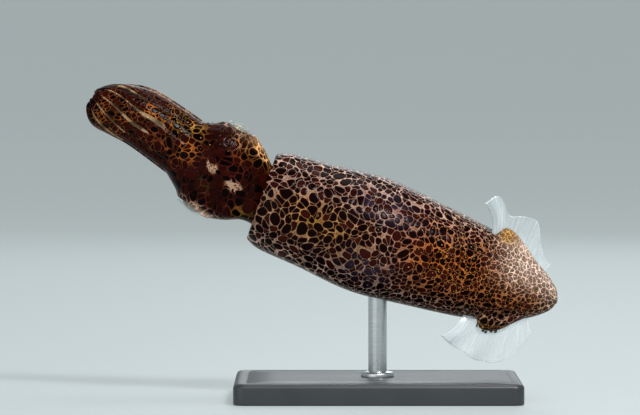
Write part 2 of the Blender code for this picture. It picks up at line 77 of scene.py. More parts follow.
def curveThrough(stations, count):
    # Catmull-Rom curve through the stations, read at count even steps
    knots = np.array(stations, float)
    knots = np.vstack([2 * knots[0] - knots[1], knots, 2 * knots[-1] - knots[-2]])
    place = np.linspace(0, len(stations) - 1, count)
    index = np.minimum(place.astype(int), len(stations) - 2)
    t = (place - index)[:, None]
    a, b, c, d = (knots[index + k] for k in range(4))
    return 0.5 * (2 * b + (c - a) * t + (2 * a - 5 * b + 4 * c - d) * t**2 + (3 * b - a - 3 * c + d) * t**3)


def readAt(stations, places):
    # the smooth curve's other columns where its first column has these values
    fine = curveThrough(stations, 800)
    order = np.argsort(fine[:, 0])
    return [np.interp(places, fine[order, 0], fine[order, k]) for k in range(1, fine.shape[1])]


def grid(x, y, z):
    # points in rows and columns
    return np.stack(np.broadcast_arrays(x, y, z), axis=-1)


def ringTurns(count):
    # even angles, once round
    return np.linspace(0, 2 * math.pi, count, endpoint=False)[None, :]


def unit(vectors):
    return vectors / np.maximum(np.linalg.norm(vectors, axis=-1, keepdims=True), 1e-9)


def smoothStep(low, high, value):
    # 0 below low, 1 above high, and an S between
    t = np.clip((value - low) / (high - low), 0, 1)
    return t * t * (3 - 2 * t)


def bell(distance, width):
    # 1 in the middle, falling off as a Gaussian of this width
    return np.exp(-((distance / width) ** 2))


def turned(axes, degrees):
    # forward, left and back, turned to the animal's right about the back axis
    a = math.radians(degrees)
    forward, left, back = axes
    c, s = math.cos(a), math.sin(a)
    return np.array([c * forward - s * left, s * forward + c * left, back])


def toWorld(points, place):
    origin, axes = place
    return origin + points @ axes


def fromWorld(points, place):
    origin, axes = place
    return (points - origin) @ axes.T


climb = math.radians(pose["mantleClimb"])
mantleAxes = np.array([
    (-math.cos(climb), 0.0, math.sin(climb)),
    (-math.sin(climb), 0.0, -math.cos(climb)),
    (0.0, -1.0, 0.0),
])
mantlePlace = (np.array(pose["mantleFront"]), mantleAxes)
headPlace = (mantlePlace[0], turned(mantleAxes, pose["headBend"]))
crownFoot = toWorld(np.array([pose["headLength"], 0.0, 0.0]), headPlace)
crownPlace = (crownFoot, turned(headPlace[1], pose["crownBend"]))


def gridFaces(rows, columns, around=True):
    # the quads between neighbouring rows; around also joins the last column to the first
    i = np.arange(rows - 1)[:, None]
    j = np.arange(columns if around else columns - 1)[None, :]
    k = (j + 1) % columns
    corners = [i * columns + j, i * columns + k, (i + 1) * columns + k, (i + 1) * columns + j]
    return np.stack(np.broadcast_arrays(*corners), axis=-1).reshape(-1, 4)


def tubeMesh(name, rings):
    # a closed skin over a row of rings, rows x columns x 3, with a fan to a middle point at each end
    rows, columns = rings.shape[:2]
    points = np.concatenate([rings.reshape(-1, 3), rings[:1].mean(axis=1), rings[-1:].mean(axis=1)])
    faces = gridFaces(rows, columns).tolist()
    j = np.arange(columns)
    k = (j + 1) % columns
    last = (rows - 1) * columns
    faces += np.stack([k, j, np.full(columns, rows * columns)], axis=1).tolist()
    faces += np.stack([last + j, last + k, np.full(columns, rows * columns + 1)], axis=1).tolist()
    return meshOf(name, points, faces)


def meshOf(name, points, faces):
    # a mesh in millimetres with its faces turned outwards
    mesh = bpy.data.meshes.new(name)
    mesh.from_pydata(points.tolist(), [], faces)
    turner = bmesh.new()
    turner.from_mesh(mesh)
    bmesh.ops.recalc_face_normals(turner, faces=turner.faces)
    turner.to_mesh(mesh)
    turner.free()
    return mesh


def joined(name, meshes):
    # several meshes as one
    gathered = bmesh.new()
    for mesh in meshes:
        gathered.from_mesh(mesh)
        bpy.data.meshes.remove(mesh)
    mesh = bpy.data.meshes.new(name)
    gathered.to_mesh(mesh)
    gathered.free()
    return mesh


def newObject(name, data):
    thing = bpy.data.objects.new(name, data)
    bpy.context.scene.collection.objects.link(thing)
    return thing


def fused(name, meshes, voxel, rounds):
    # closed meshes fused into one skin on a fine lattice, then relaxed
    carrier = newObject(name, joined(name, meshes))
    fuse = carrier.modifiers.new("oneSkin", "REMESH")
    fuse.mode = "VOXEL"
    fuse.voxel_size = voxel
    relax = carrier.modifiers.new("relax", "SMOOTH")
    relax.factor = 0.5
    relax.iterations = rounds
    bpy.context.view_layer.update()
    mesh = bpy.data.meshes.new_from_object(carrier.evaluated_get(bpy.context.evaluated_depsgraph_get()))
    bpy.data.objects.remove(carrier)
    mesh.name = name
    return mesh


def readRows(items, key):
    # the places or normals of a mesh's points, a row each
    values = np.empty(len(items) * 3, np.float32)
    items.foreach_get(key, values)
    return values.reshape(-1, 3).astype(float)


def pointsOf(mesh):
    return readRows(mesh.vertices, "co")


def store(mesh, name, values):
    # one number, vector or colour for each point, kept on the mesh for its material
    values = np.asarray(values, np.float32)
    kind, key = {1: ("FLOAT", "value"), 3: ("FLOAT_VECTOR", "vector"), 4: ("FLOAT_COLOR", "color")}[
        values.size // len(values)]
    mesh.attributes.new(name, kind, "POINT").data.foreach_set(key, values.ravel())


def carry(mesh, place):
    # from the animal's own frame into the world
    mesh.transform(Matrix.Translation(Vector(place[0])) @ Matrix(place[1].T.tolist()).to_4x4())


def layered(points, base, layers):
    # colours laid over one another, each with its share at every point, held between 0 and 1
    color = np.tile(base, (len(points), 1))
    for tint, share in layers:
        color = color + (tint - color) * np.clip(share, 0, 1)[:, None]
    return np.column_stack([color, np.ones(len(color))])


def addPiece(name, mesh, material, slotName, *nodes):
    # a finished piece, its mesh brought from millimetres to metres
    mesh.transform(Matrix.Scale(mm, 4))
    mesh.name = name
    piece = newObject(name, mesh)
    mesh.materials.clear()
    mesh.materials.append(material)
    mesh.shade_smooth()
    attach(piece, "root")
    if nodes:
        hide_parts(*nodes)
    return piece


# Working with shader nodes

def give(socket, value):
    # a link where the value is another node's output, or else the socket's own value
    if isinstance(value, bpy.types.NodeSocket):
        socket.id_data.links.new(value, socket)
    else:
        socket.default_value = value


def setInputs(made, **values):
    # each input is named by its label in camel case
    for socket in made.inputs:
        key = socket.name[:1].lower() + socket.name[1:].replace(" ", "")
        if key in values:
            give(socket, values[key])


def node(tree, kind, inputs=(), **settings):
    # a shader node with its settings and inputs
    made = tree.nodes.new("ShaderNode" + kind)
    for key, value in settings.items():
        setattr(made, key, value)
    for key, value in dict(inputs).items():
        give(made.inputs[key], value)
    return made


def treeOf(values):
    return next(value.id_data for value in values if isinstance(value, bpy.types.NodeSocket))


def maths(operation, *values):
    return node(treeOf(values), "Math", enumerate(values), operation=operation).outputs[0]


def vectorMaths(operation, *values):
    # the result is a vector, or a number for a distance or a length
    made = node(treeOf(values), "VectorMath", enumerate(values), operation=operation).outputs
    return made["Value" if operation in ("DISTANCE", "LENGTH") else "Vector"]


plus, minus, times, timesPlus, larger, smaller, isUnder, isOver = (partial(maths, name) for name in (
    "ADD", "SUBTRACT", "MULTIPLY", "MULTIPLY_ADD", "MAXIMUM", "MINIMUM", "LESS_THAN", "GREATER_THAN"))
without = partial(minus, 1.0)


def scaled(vector, factor):
    return node(vector.id_data, "VectorMath", {0: vector, "Scale": factor}, operation="SCALE").outputs[0]


def ramp(value, low, high):
    # 0 below low, 1 above high, and an S between
    inputs = {"Value": value, "From Min": low, "From Max": high}
    return node(value.id_data, "MapRange", inputs, interpolation_type="SMOOTHSTEP").outputs["Result"]


def blend(share, low, high):
    # a mix of two colours
    return node(share.id_data, "Mix", {0: share, 6: low, 7: high}, data_type="RGBA").outputs[2]


def split(vector):
    return node(vector.id_data, "SeparateXYZ", {"Vector": vector}).outputs


def chances(color):
    return node(color.id_data, "SeparateColor", {"Color": color}).outputs


def noise(vector, scale, detail, output="Fac", **settings):
    inputs = {"Vector": vector, "Scale": scale, "Detail": detail}
    return node(vector.id_data, "TexNoise", inputs, **settings).outputs[output]


def voronoi(vector, scale, randomness=1.0, **settings):
    inputs = {"Vector": vector, "Scale": scale, "Randomness": randomness}
    return node(vector.id_data, "TexVoronoi", inputs, voronoi_dimensions="2D", **settings).outputs


def bumped(height, strength, distance):
    # the normal over a height, with its distance in metres
    inputs = {"Height": height, "Strength": strength, "Distance": distance}
    return node(height.id_data, "Bump", inputs).outputs["Normal"]


def newGroup(name, inputs, outputs):
    # a shader node group whose inputs are numbers, vectors of three and colours of four
    group = bpy.data.node_groups.new(name, "ShaderNodeTree")
    for label, value in inputs.items():
        kind = {1: "Float", 3: "Vector", 4: "Color"}[np.size(value)]
        socket = group.interface.new_socket(label, in_out="INPUT", socket_type="NodeSocket" + kind)
        socket.default_value = value
    for label, kind in outputs.items():
        group.interface.new_socket(label, in_out="OUTPUT", socket_type="NodeSocket" + kind)
    return group, group.nodes.new("NodeGroupInput").outputs, group.nodes.new("NodeGroupOutput").inputs


def newMaterial(name, **values):
    # a Principled material
    material = bpy.data.materials.new(name)
    material.use_nodes = True
    shader = material.node_tree.nodes["Principled BSDF"]
    setInputs(shader, **values)
    return material, material.node_tree, shader


def fromMesh(tree, name):
    return node(tree, "Attribute", attribute_name=name, attribute_type="GEOMETRY").outputs


def ownPlace(tree):
    return node(tree, "TexCoord").outputs["Object"]


def place(tree, group, **inputs):
    # a copy of a node group
    made = node(tree, "Group", node_tree=group)
    setInputs(made, **inputs)
    return made.outputs


# lengths are in cell widths
cellLook = {
    "large": (1.6, 0.7),             # spacing of the middles, how freely they lie
    "largeRadius": (0.42, 0.26),     # the least, how much more at most
    "largeShown": 0.85,              # share of the large cells that are there
    "small": (0.85, 0.78),
    "smallRadius": (0.43, 0.24),
    "roundness": 0.27,
    "roundnessAtLarge": 0.18,
    "coverMargin": 0.14,             # how far a large disc lies past the middle of a small cell that it hides
    "fence": (1.0, 0.8),
    "wanderScale": 0.36,             # waves to a length of 1 in the measure's bends
    "wanderReach": 1.1,
    "blotchEdge": (1.1, 1.9),        # in sizes of the blotch, as is the next
    "blotchLarge": 1.3,
    "blotchGap": 0.12,
    "dots": (3.0, 0.9),              # how many to a length of 1, how freely they lie
    "hollowOver": 0.955,             # cells with a chance over this have a pale middle
    # cells with a chance over this take the painted violet sheen
    "violetOver": 0.35,
    "speckScale": 3.6,               # specks to a length of 1
}


def makePigmentCells():
    # Pigment cells on pale skin. Large cells are discs round the middles of a wide Voronoi, some left out.
    # Small cells are those of a finer Voronoi, each cut to its own disc, drawn back by the gap from its
    # neighbours' edges and from the large discs, and left out where its middle is under one. A level below
    # 0 is inside a cell. The back and the belly have a measure each, and the fence between them follows the
    # cells of one more Voronoi. Cells that lie in one of the two blotches are left out.
    group, given, out = newGroup("pigmentCells", {
        "backPlace": (0.0, 0.0, 0.0),
        "bellyPlace": (0.0, 0.0, 0.0),
        "backShare": 1.0,
        "backReach": 9.0,
        "netColor": (0.58, 0.40, 0.30, 1),
        "cellColor": (0.006, 0.002, 0.002, 1),
        "thinColor": (0.05, 0.010, 0.006, 1),
        "dotColor": (0.20, 0.04, 0.015, 1),
        "bareColor": (0.40, 0.27, 0.15, 1),
        "violetColor": (0.06, 0.045, 0.09, 1),
        "bare": 0.0,
        "violet": 0.0,
        "fade": 0.0,
        "specks": 0.0,
        "speckColor": (0.55, 0.29, 0.06, 1),
        "gap": 0.07,
        "softness": 0.05,
        "thinShare": 0.3,
        "dotShare": 0.55,
        "patchiness": 0.0,
        "blotchOne": (0, 90, 0),
        "blotchTwo": (0, 90, 0),
        "blotchSize": 0.8,
        "blotchColor": (0.38, 0.23, 0.145, 1),
    }, {"Color": "Color", "Height": "Float", "Cell": "Float"})

    def nearestCell(vector, layout):
        # the distance to the nearest middle, that cell's chances and its middle
        spacing, randomness = layout
        made = voronoi(vector, 1 / spacing, randomness)
        return times(made["Distance"], spacing), made["Color"], made["Position"]

    def toEdge(vector, layout):
        spacing, randomness = layout
        made = voronoi(vector, 1 / spacing, randomness, feature="DISTANCE_TO_EDGE")
        return times(made["Distance"], spacing)

    def largeRadius(color):
        chance = chances(color)
        least, more = cellLook["largeRadius"]
        return times(timesPlus(chance[0], more, least), isUnder(chance[1], cellLook["largeShown"]))

    def fromBlotches(spot):
        return smaller(*(vectorMaths("DISTANCE", spot, given[label]) for label in ("blotchOne", "blotchTwo")))

    def inBlotch(spot, reach):
        return isUnder(fromBlotches(spot), times(given["blotchSize"], reach))

    # the fence between back and belly
    _, _, middle = nearestCell(given["backPlace"], cellLook["fence"])
    across = minus(maths("ABSOLUTE", split(middle)["Y"]), given["backReach"])
    onBack = times(isUnder(across, 0.0), isOver(given["backShare"], 0.5))
    fence = toEdge(given["backPlace"], cellLook["fence"])
    fence = plus(fence, ramp(maths("ABSOLUTE", across), 0.8, 1.0))
    spot = blend(onBack, given["bellyPlace"], given["backPlace"])
    # the measure is bent a little, so that no row of cells shows
    wander = noise(spot, cellLook["wanderScale"], 0.0, "Color", noise_dimensions="2D")
    shift = scaled(vectorMaths("SUBTRACT", wander, (0.5, 0.5, 0.5)), cellLook["wanderReach"])
    bent = vectorMaths("ADD", spot, shift)
    near, far = (times(given["blotchSize"], edge) for edge in cellLook["blotchEdge"])
    blotch = without(ramp(fromBlotches(bent), near, far))
    gap = timesPlus(blotch, cellLook["blotchGap"], given["gap"])
    halfGap = times(gap, 0.5)
    # large cells; 2 lifts a level out of every cell
    largeAway, largeColor, largeMiddle = nearestCell(bent, cellLook["large"])
    large = minus(largeAway, largeRadius(largeColor))
    large = larger(large, minus(halfGap, toEdge(bent, cellLook["large"])))
    large = timesPlus(inBlotch(largeMiddle, cellLook["blotchLarge"]), 2.0, large)
    # small cells
    smallAway, smallColor, smallMiddle = nearestCell(bent, cellLook["small"])
    least, more = cellLook["smallRadius"]
    small = minus(smallAway, timesPlus(chances(smallColor)[0], more, least))
    edge = minus(halfGap, toEdge(bent, cellLook["small"]))
    small = maths("SMOOTH_MAX", edge, small, cellLook["roundness"])
    small = maths("SMOOTH_MAX", small, minus(gap, large), cellLook["roundnessAtLarge"])
    coverAway, coverColor, coverMiddle = nearestCell(smallMiddle, cellLook["large"])
    covered = isUnder(plus(coverAway, cellLook["coverMargin"]), largeRadius(coverColor))
    covered = times(covered, without(inBlotch(coverMiddle, cellLook["blotchLarge"])))
    covered = larger(covered, inBlotch(smallMiddle, 1.0))
    small = timesPlus(covered, 2.0, small)
    level = larger(smaller(large, small), minus(halfGap, fence))
    inLarge = isUnder(large, small)
    chance = chances(blend(inLarge, smallColor, largeColor))
    away = node(group, "Mix", {0: inLarge, 2: smallAway, 3: largeAway}).outputs[0]
    half = times(given["softness"], 0.5)
    cell = without(ramp(level, times(half, -1.0), half))
    # small dots on the net
    dots = voronoi(bent, *cellLook["dots"])
    pick = chances(dots["Color"])
    size = timesPlus(pick[0], 0.22, timesPlus(blotch, 0.13, 0.12))
    dot = without(ramp(dots["Distance"], times(size, 0.8), plus(size, 0.08)))
    dot = times(dot, isUnder(pick[1], timesPlus(blotch, 0.4, given["dotShare"])))
    # the net's own colour: uneven, and darker where it is wide
    cloud = noise(spot, 2.4, 3.0, noise_dimensions="2D")
    light = times(timesPlus(cloud, 1.1, 0.45), timesPlus(ramp(level, 0.05, 0.2), -0.4, 1.0))
    patch = timesPlus(ramp(chances(wander)[2], 0.38, 0.62), 2.0, -1.0)
    light = times(light, timesPlus(patch, given["patchiness"], 1.0))
    netColor = blend(blotch, scaled(given["netColor"], light), given["blotchColor"])
    netColor = blend(times(dot, 0.85), netColor, given["dotColor"])
    # the cells' colour: redder at their edges, thin and redder in the middle in some, pale there in a few
    rim = ramp(level, -0.14, 0.0)
    picked = times(isUnder(chance[2], given["thinShare"]), timesPlus(chance[0], 0.7, 0.3))
    thin = larger(times(rim, 0.5), times(timesPlus(rim, -0.7, 1.0), picked))
    cellColor = blend(thin, given["cellColor"], given["thinColor"])
    hollow = times(isOver(chance[2], cellLook["hollowOver"]), without(ramp(away, 0.05, 0.12)))
    cellColor = blend(times(hollow, 0.7), cellColor, netColor)
    # painted sheen: a violet reflection laid into the colour of some cells
    paintedSheenShare = times(given["violet"], isOver(chance[2], cellLook["violetOver"]))
    cellColor = blend(paintedSheenShare, cellColor, given["violetColor"])
    cellColor = blend(given["fade"], cellColor, netColor)
    color = blend(cell, netColor, cellColor)
    # tiny bright specks over cells and net
    grains = voronoi(bent, cellLook["speckScale"])
    speck = isUnder(chances(grains["Color"])[1], given["specks"])
    speck = times(speck, without(ramp(grains["Distance"], 0.16, 0.3)))
    color = blend(speck, color, given["speckColor"])
    # bare skin
    bare = ramp(timesPlus(cloud, 0.3, given["bare"]), 0.5, 0.75)
    bareTint = blend(times(dot, 0.35), scaled(given["bareColor"], light), given["dotColor"])
    shown = without(bare)
    dome = times(ramp(level, 0.02, -0.2), shown)
    give(out["Color"], blend(bare, color, bareTint))
    give(out["Height"], timesPlus(dome, 0.7, times(cloud, 0.6)))
    give(out["Cell"], times(cell, shown))
    return group


pigmentCells = makePigmentCells()
print("shader group ready")

# The mantle: a pointed sack, open in front, whose sides grow out into the fins' thick roots

mantle = {
    # behind the edge, half width
    "outside": [(0.0, 3.05), (0.22, 3.24), (1.2, 3.56), (4.0, 3.78), (8.0, 4.17), (12.0, 3.79),
                (16.0, 3.27), (18.6, 2.62), (20.4, 1.78), (21.6, 0.85), (22.0, 0.1)],
    "inside": [(3.3, 0.2), (3.2, 1.7), (2.7, 2.5), (1.5, 2.8), (0.4, 2.82), (0.05, 2.95)],
    "backDepth": 0.90,       # share of the half width
    "bellyDepth": 0.98,
    "notch": 0.55,           # how far the front edge dips under the funnel
    "notchSpread": 0.6,
    "notchReach": 1.4,
    "rows": 250,
    "cavityRows": 30,
    "columns": 248,
    "rootLift": 24.0,        # the fins' line on the flank, above its middle, in degrees
    "lobeThickness": 0.95,
    "crowding": (1.6, 0.3),  # how much closer the columns lie on that line, and how wide either way
    # behind the front edge, reach and lift towards the back, for each fin's thick root
    "rightLobe": [(16.3, 0.0, 0.2), (16.62, 0.55, 0.3), (16.95, 0.86, 0.25), (17.7, 0.82, 0.05),
                  (18.4, 0.55, -0.1), (19.1, 0.28, -0.05), (19.9, 0.0, 0.0)],
    "leftLobe": [(16.95, 0.0, 0.2), (17.2, 0.45, 0.3), (17.55, 0.8, 0.25), (18.2, 0.9, 0.05),
                 (18.8, 0.78, -0.1), (19.5, 0.35, -0.05), (20.2, 0.0, 0.0)],
}


def mantleSurface():
    # Rings of half width w(x) about the axis, deeper to the belly than to the back; the front edge dips
    # under the funnel. On the fins' line each point moves out by the lobe's reach times a flat-topped
    # bell across the lobe.
    profile = np.vstack([curveThrough(mantle["inside"], mantle["cavityRows"]),
                         curveThrough(mantle["outside"], mantle["rows"])])
    isOutside = np.arange(len(profile)) >= mantle["cavityRows"]
    rootLift = math.radians(mantle["rootLift"])
    turn = np.linspace(0, 2 * math.pi, 2000)
    more, spread = mantle["crowding"]
    crowding = 1 + more * bell(np.arctan2(np.sin(turn), np.abs(np.cos(turn))) - rootLift, spread)
    steps = np.concatenate([[0], np.cumsum(crowding[1:])])
    angle = np.interp(np.linspace(0, steps[-1], mantle["columns"], endpoint=False), steps, turn)[None, :]
    behind, halfWidth = profile[:, :1], profile[:, 1:]
    depth = np.where(np.sin(angle) > 0, mantle["backDepth"], mantle["bellyDepth"])
    below = bell(angle - 1.5 * math.pi, mantle["notchSpread"])
    x = -behind - mantle["notch"] * below * np.exp(-np.maximum(behind, 0) / mantle["notchReach"])
    y = halfWidth * np.cos(angle)
    z = halfWidth * depth * np.sin(angle)
    for side, stations in ((1, mantle["leftLobe"]), (-1, mantle["rightLobe"])):
        reach, lift = readAt(stations, behind[:, 0])
        inside = (behind[:, 0] > stations[0][0]) & (behind[:, 0] < stations[-1][0]) & isOutside
        reach = np.where(inside, reach, 0)[:, None]
        across = (np.arctan2(np.sin(angle), np.cos(angle) * side) - rootLift) * halfWidth
        push = reach * np.exp(-np.abs(across / (mantle["lobeThickness"] / 2)) ** 4)
        y = y + side * push
        z = z + push * lift[:, None]
    return grid(x, y, z)


backAngle = 104.0        # how far the back's cells reach down either flank, in degrees


def skinMeasure(along, fromBack, fromBelly, size, radius):
    # Where a point lies on the skin in cell widths, for a body whose radius and cell size change along it:
    # the skin is unrolled as if it were locally a cone. fromBack and fromBelly are the lengths round the
    # body from the middle of each, over the radius there. Gives the back's and the belly's measure, how
    # surely a point is on the back, and how far the back reaches down the flanks.
    fine = np.linspace(along.min() - 1, along.max() + 1, 600)
    girth, width = np.interp(fine, *radius), np.interp(fine, *size)
    slope = np.gradient(np.convolve(np.pad(girth, 20, mode="edge"), np.ones(41) / 41, "valid"), fine)
    length = np.cumsum(1 / width) * (fine[1] - fine[0])
    girth, width, slope, length = (np.interp(along, fine, v) for v in (girth, width, slope, length))
    slope = np.where(np.abs(slope) < 0.01, 0.01, slope)
    measures = []
    for turn in (fromBack, fromBelly):
        over = (girth / slope) * (1 - np.cos(turn * slope)) / width
        across = (girth / slope) * np.sin(turn * slope) / width
        measures.append(np.stack([length - over, across, 0 * across], axis=1))
    measures[1] += (60.3, 40.7, 0)       # other cells than on the back
    share = np.where(np.abs(fromBack) - np.abs(fromBelly) < 1.0, 1.0, 0.0)
    reach = math.radians(backAngle) * girth / width
    return measures[0], measures[1], share, reach


def opposite(turn):
    # the same place as an angle from the middle of the belly
    return np.where(turn > 0, turn - math.pi, turn + math.pi)


def storeMeasure(mesh, *measure):
    for name, values in zip(("backPlace", "bellyPlace", "backShare", "backReach"), skinMeasure(*measure)):
        store(mesh, name, values)


def lengthRound(rings, column):
    # the signed length along each ring from this column, over either way to the far side
    steps = np.linalg.norm(rings - np.roll(rings, 1, axis=1), axis=2)
    steps = np.roll(steps, -column, axis=1)
    run = np.cumsum(steps, axis=1) - steps[:, :1]
    whole = run[:, -1:] + steps[:, :1]
    run = np.where(run > whole / 2, run - whole, run)
    return np.roll(run, column, axis=1)


# behind the edge, width of a cell; behind, radius
mantleCells = ((0, 7, 12, 16, 22), (0.62, 0.58, 0.47, 0.38, 0.32))
mantleGirth = tuple(np.array(mantle["outside"]).T * [[1], [0.96]])


def mantleCoat(points):
    # the net's colour at each point in the mantle's own frame, and what else changes from place to place
    behind, y, z = -points[:, 0], points[:, 1], points[:, 2]
    pale, gold, orange, rose, cream = np.array([
        (0.30, 0.19, 0.155), (0.34, 0.17, 0.03), (0.44, 0.125, 0.018), (0.66, 0.44, 0.34), (1.0, 0.73, 0.58)])
    halfWidth = np.maximum(np.abs(readAt(mantle["outside"], behind)[0]), 0.5)
    tailTop = smoothStep(15.5, 19.0, behind) * smoothStep(1.2, -1.6, y)
    color = layered(points, pale, [
        (gold, 0.9 * bell(behind - 4.4, 4.2) * bell(y - 0.3, 1.9)),
        (orange, smoothStep(8.5, 12.5, behind) * (0.35 + 0.65 * bell(y, 2.6))),
        (rose, 0.8 * smoothStep(0.55, 0.95, np.abs(y) / halfWidth) * (1 - 0.5 * smoothStep(14, 19, behind))),
        (gold * 1.2, 0.8 * smoothStep(16.2, 17.2, behind) * smoothStep(2.3, 3.2, np.abs(y))),
        (cream, 0.95 * tailTop + 0.5 * smoothStep(20.0, 22.0, behind)),
        (gold * 1.9, 0.8 * bell(behind - 17.1, 0.7) * smoothStep(-2.4, -3.1, y)),
        (pale * 1.15, 0.5 * smoothStep(0.2, -0.9, z / 3)),
    ])
    # painted sheen: where the cells take a violet reflection, on the back to either side of the mantle's
    # middle
    violet = bell(behind - 8.4, 2.0) * bell(np.abs(y) - 2.2, 0.9) * smoothStep(0, 1, z)
    lobe = smoothStep(16.0, 17.0, behind) * smoothStep(-2.2, -3.0, y) * smoothStep(19.8, 18.8, behind)
    rear = smoothStep(10.0, 14.0, behind) * smoothStep(3.2, 0.5, y)
    return {"netColor": color, "violet": violet, "gapScale": 1 + 1.6 * tailTop + 0.8 * lobe,
            "fade": 0.24 * tailTop + 0.25 * lobe, "specks": 0.10 * rear + 0.08 * tailTop}


def makeSkinMaterial(name, gap, **look):
    # moist skin with pigment cells: the cells stand a little proud and are glossier than the net
    material, tree, shader = newMaterial(
        name, sheenWeight=0.02, sheenRoughness=0.12, sheenTint=(1.0, 0.95, 0.9, 1), specularIORLevel=0.03)
    marks = {mark: fromMesh(tree, mark)["Fac"] for mark in (
        "backShare", "backReach", "bare", "violet", "fade", "specks")}
    marks |= {mark: fromMesh(tree, mark)["Vector"] for mark in ("backPlace", "bellyPlace")}
    cells = place(tree, pigmentCells, netColor=fromMesh(tree, "netColor")["Color"],
                  gap=times(fromMesh(tree, "gapScale")["Fac"], gap), **marks, **look)
    setInputs(shader, baseColor=cells["Color"], roughness=timesPlus(cells["Cell"], -0.12, 0.26),
              normal=bumped(cells["Height"], 0.6, 0.00003))
    return material


mantleSkin = makeSkinMaterial("mantleSkin", gap=0.035, softness=0.06, thinShare=0.25, dotShare=0.75,
                              patchiness=0.12, cellColor=(0.0045, 0.0006, 0.0005, 1),
                              thinColor=(0.036, 0.005, 0.003, 1), violetColor=(0.024, 0.014, 0.024, 1),
                              bareColor=(0.4, 0.28, 0.21, 1))
rings = mantleSurface()
mesh = tubeMesh("mantle", rings)
points = pointsOf(mesh)
for name, values in mantleCoat(points).items():
    store(mesh, name, values)
girth = np.interp(-rings[:, :, 0], *mantleGirth)
# the columns along the middle of the back and of the belly, found on a ring outside the cavity
middles = [int(np.argmax(way * rings[2 * mantle["cavityRows"], :, 2])) for way in (1, -1)]
fromBack, fromBelly = (np.append((-way * lengthRound(rings, column) / girth).ravel(), (0, 0))
                       for way, column in zip((1, -1), middles))
storeMeasure(mesh, -points[:, 0], fromBack, fromBelly, mantleCells, mantleGirth)
inCavity = np.zeros(len(points))
inCavity[:mantle["cavityRows"] * mantle["columns"]] = 1
store(mesh, "bare", inCavity)
carry(mesh, mantlePlace)
addPiece("mantleSkin", mesh, mantleSkin, "mantle_skin", "mantle")
print("mantle done")

# The head, with the eyes' lids and sockets, the funnel and the arms, all one skin

head = {
    # ahead of the mantle's edge, half width, depth to the back and to the belly
    "stations": [(-2.6, 1.70, 1.30, 1.20), (-1.0, 1.95, 1.55, 1.45), (0.3, 2.12, 1.72, 1.60),
                 (1.3, 2.75, 1.95, 1.85), (2.3, 3.18, 2.18, 2.12), (3.5, 3.38, 2.32, 2.32),
                 (4.6, 3.14, 2.26, 2.26), (5.5, 2.66, 2.12, 2.12), (6.1, 2.34, 2.02, 2.02),
                 (6.9, 1.95, 1.75, 1.75)],
    "squareness": 2.4,
    "rows": 150,
    "columns": 240,
    "eye": (3.75, 2.65, 0.1),
    "eyeRadius": 1.0,
    "eyeHalfThickness": 0.8,
    "socketRadius": 1.03,
    "socketDepth": 0.75,
    "lidRadius": 1.26,
    "lidHeight": 0.09,
    "lidWidth": 0.17,
    "bulge": (0.06, 1.9),    # how high and how wide the head rises round each eye
    "voxel": 0.078,
    "relaxRounds": 3,
}
funnel = {
    # place along the head, drop below its axis, half width, half height
    "stations": [(-2.0, -1.5, 1.15, 0.42), (-0.6, -1.6, 1.15, 0.5), (0.8, -1.8, 1.0, 0.58),
                 (2.2, -2.08, 0.82, 0.6), (3.4, -2.38, 0.66, 0.55)],
    "wall": 0.26,
    "boreDepth": 1.5,
}
crown = {
    "length": 7.5,
    "halfWidth": 2.22,
    "halfDepth": 2.0,
    # share of the length, share of the girth, drift to the animal's left
    "stations": [(0.0, 1.0, -0.05), (0.25, 0.98, -0.3), (0.5, 0.94, -0.45), (0.7, 0.87, -0.27),
                 (0.82, 0.77, -0.04), (0.9, 0.63, 0.09), (0.965, 0.43, 0.08), (1.0, 0.25, -0.08)],
    "roll": -18.0,
    # each pair's place from the middle of the back, as shares of half the way round, and its reach
    "pairs": [(0.0, 0.165, 0.99), (0.165, 0.34, 1.0), (0.34, 0.575, 1.0), (0.6, 1.0, 0.98)],
    "gap": -0.04,
    "widest": 1.0,
    "narrowest": 0.07,
    "armHalfDepth": 0.46,
    "taper": 0.3,
    "wedge": 0.34,
    "squareness": 0.72,
    "rings": 90,
    "sides": 40,
    "webReach": 2.3,
    "webWall": 0.3,
    "twist": (0.5, 0.97, 54.0),    # from and to these shares of the length, the tips turn to the right
}


def headSurface():
    # Rounded, slightly square rings. Round each eye, by the distance r from its axis, the skin rises into
    # a lid as a Gaussian ring, heavier above, and inside the lid it drops into the socket.
    x, halfWidth, back, belly = curveThrough(head["stations"], head["rows"]).T[:, :, None]
    angle = ringTurns(head["columns"])
    power = 2 / head["squareness"]
    across = np.sign(np.cos(angle)) * np.abs(np.cos(angle)) ** power
    up = np.sign(np.sin(angle)) * np.abs(np.sin(angle)) ** power
    y = halfWidth * across
    z = np.where(up > 0, back, belly) * up
    eyeX, _, eyeZ = head["eye"]
    r = np.hypot(x - eyeX, z - eyeZ)
    onFlank = smoothStep(0.5, 0.75, np.abs(across))
    above = 1 + 0.5 * (z - eyeZ) / np.maximum(r, 0.3)
    lid = head["lidHeight"] * above * bell(r - head["lidRadius"], head["lidWidth"])
    edge = head["socketRadius"]
    floor = -head["socketDepth"] * (1 - smoothStep(edge - 0.1, edge + 0.06, r))
    height, width = head["bulge"]
    y = y + np.sign(across) * onFlank * (lid + floor + height * bell(r, width))
    return grid(x, y, z)


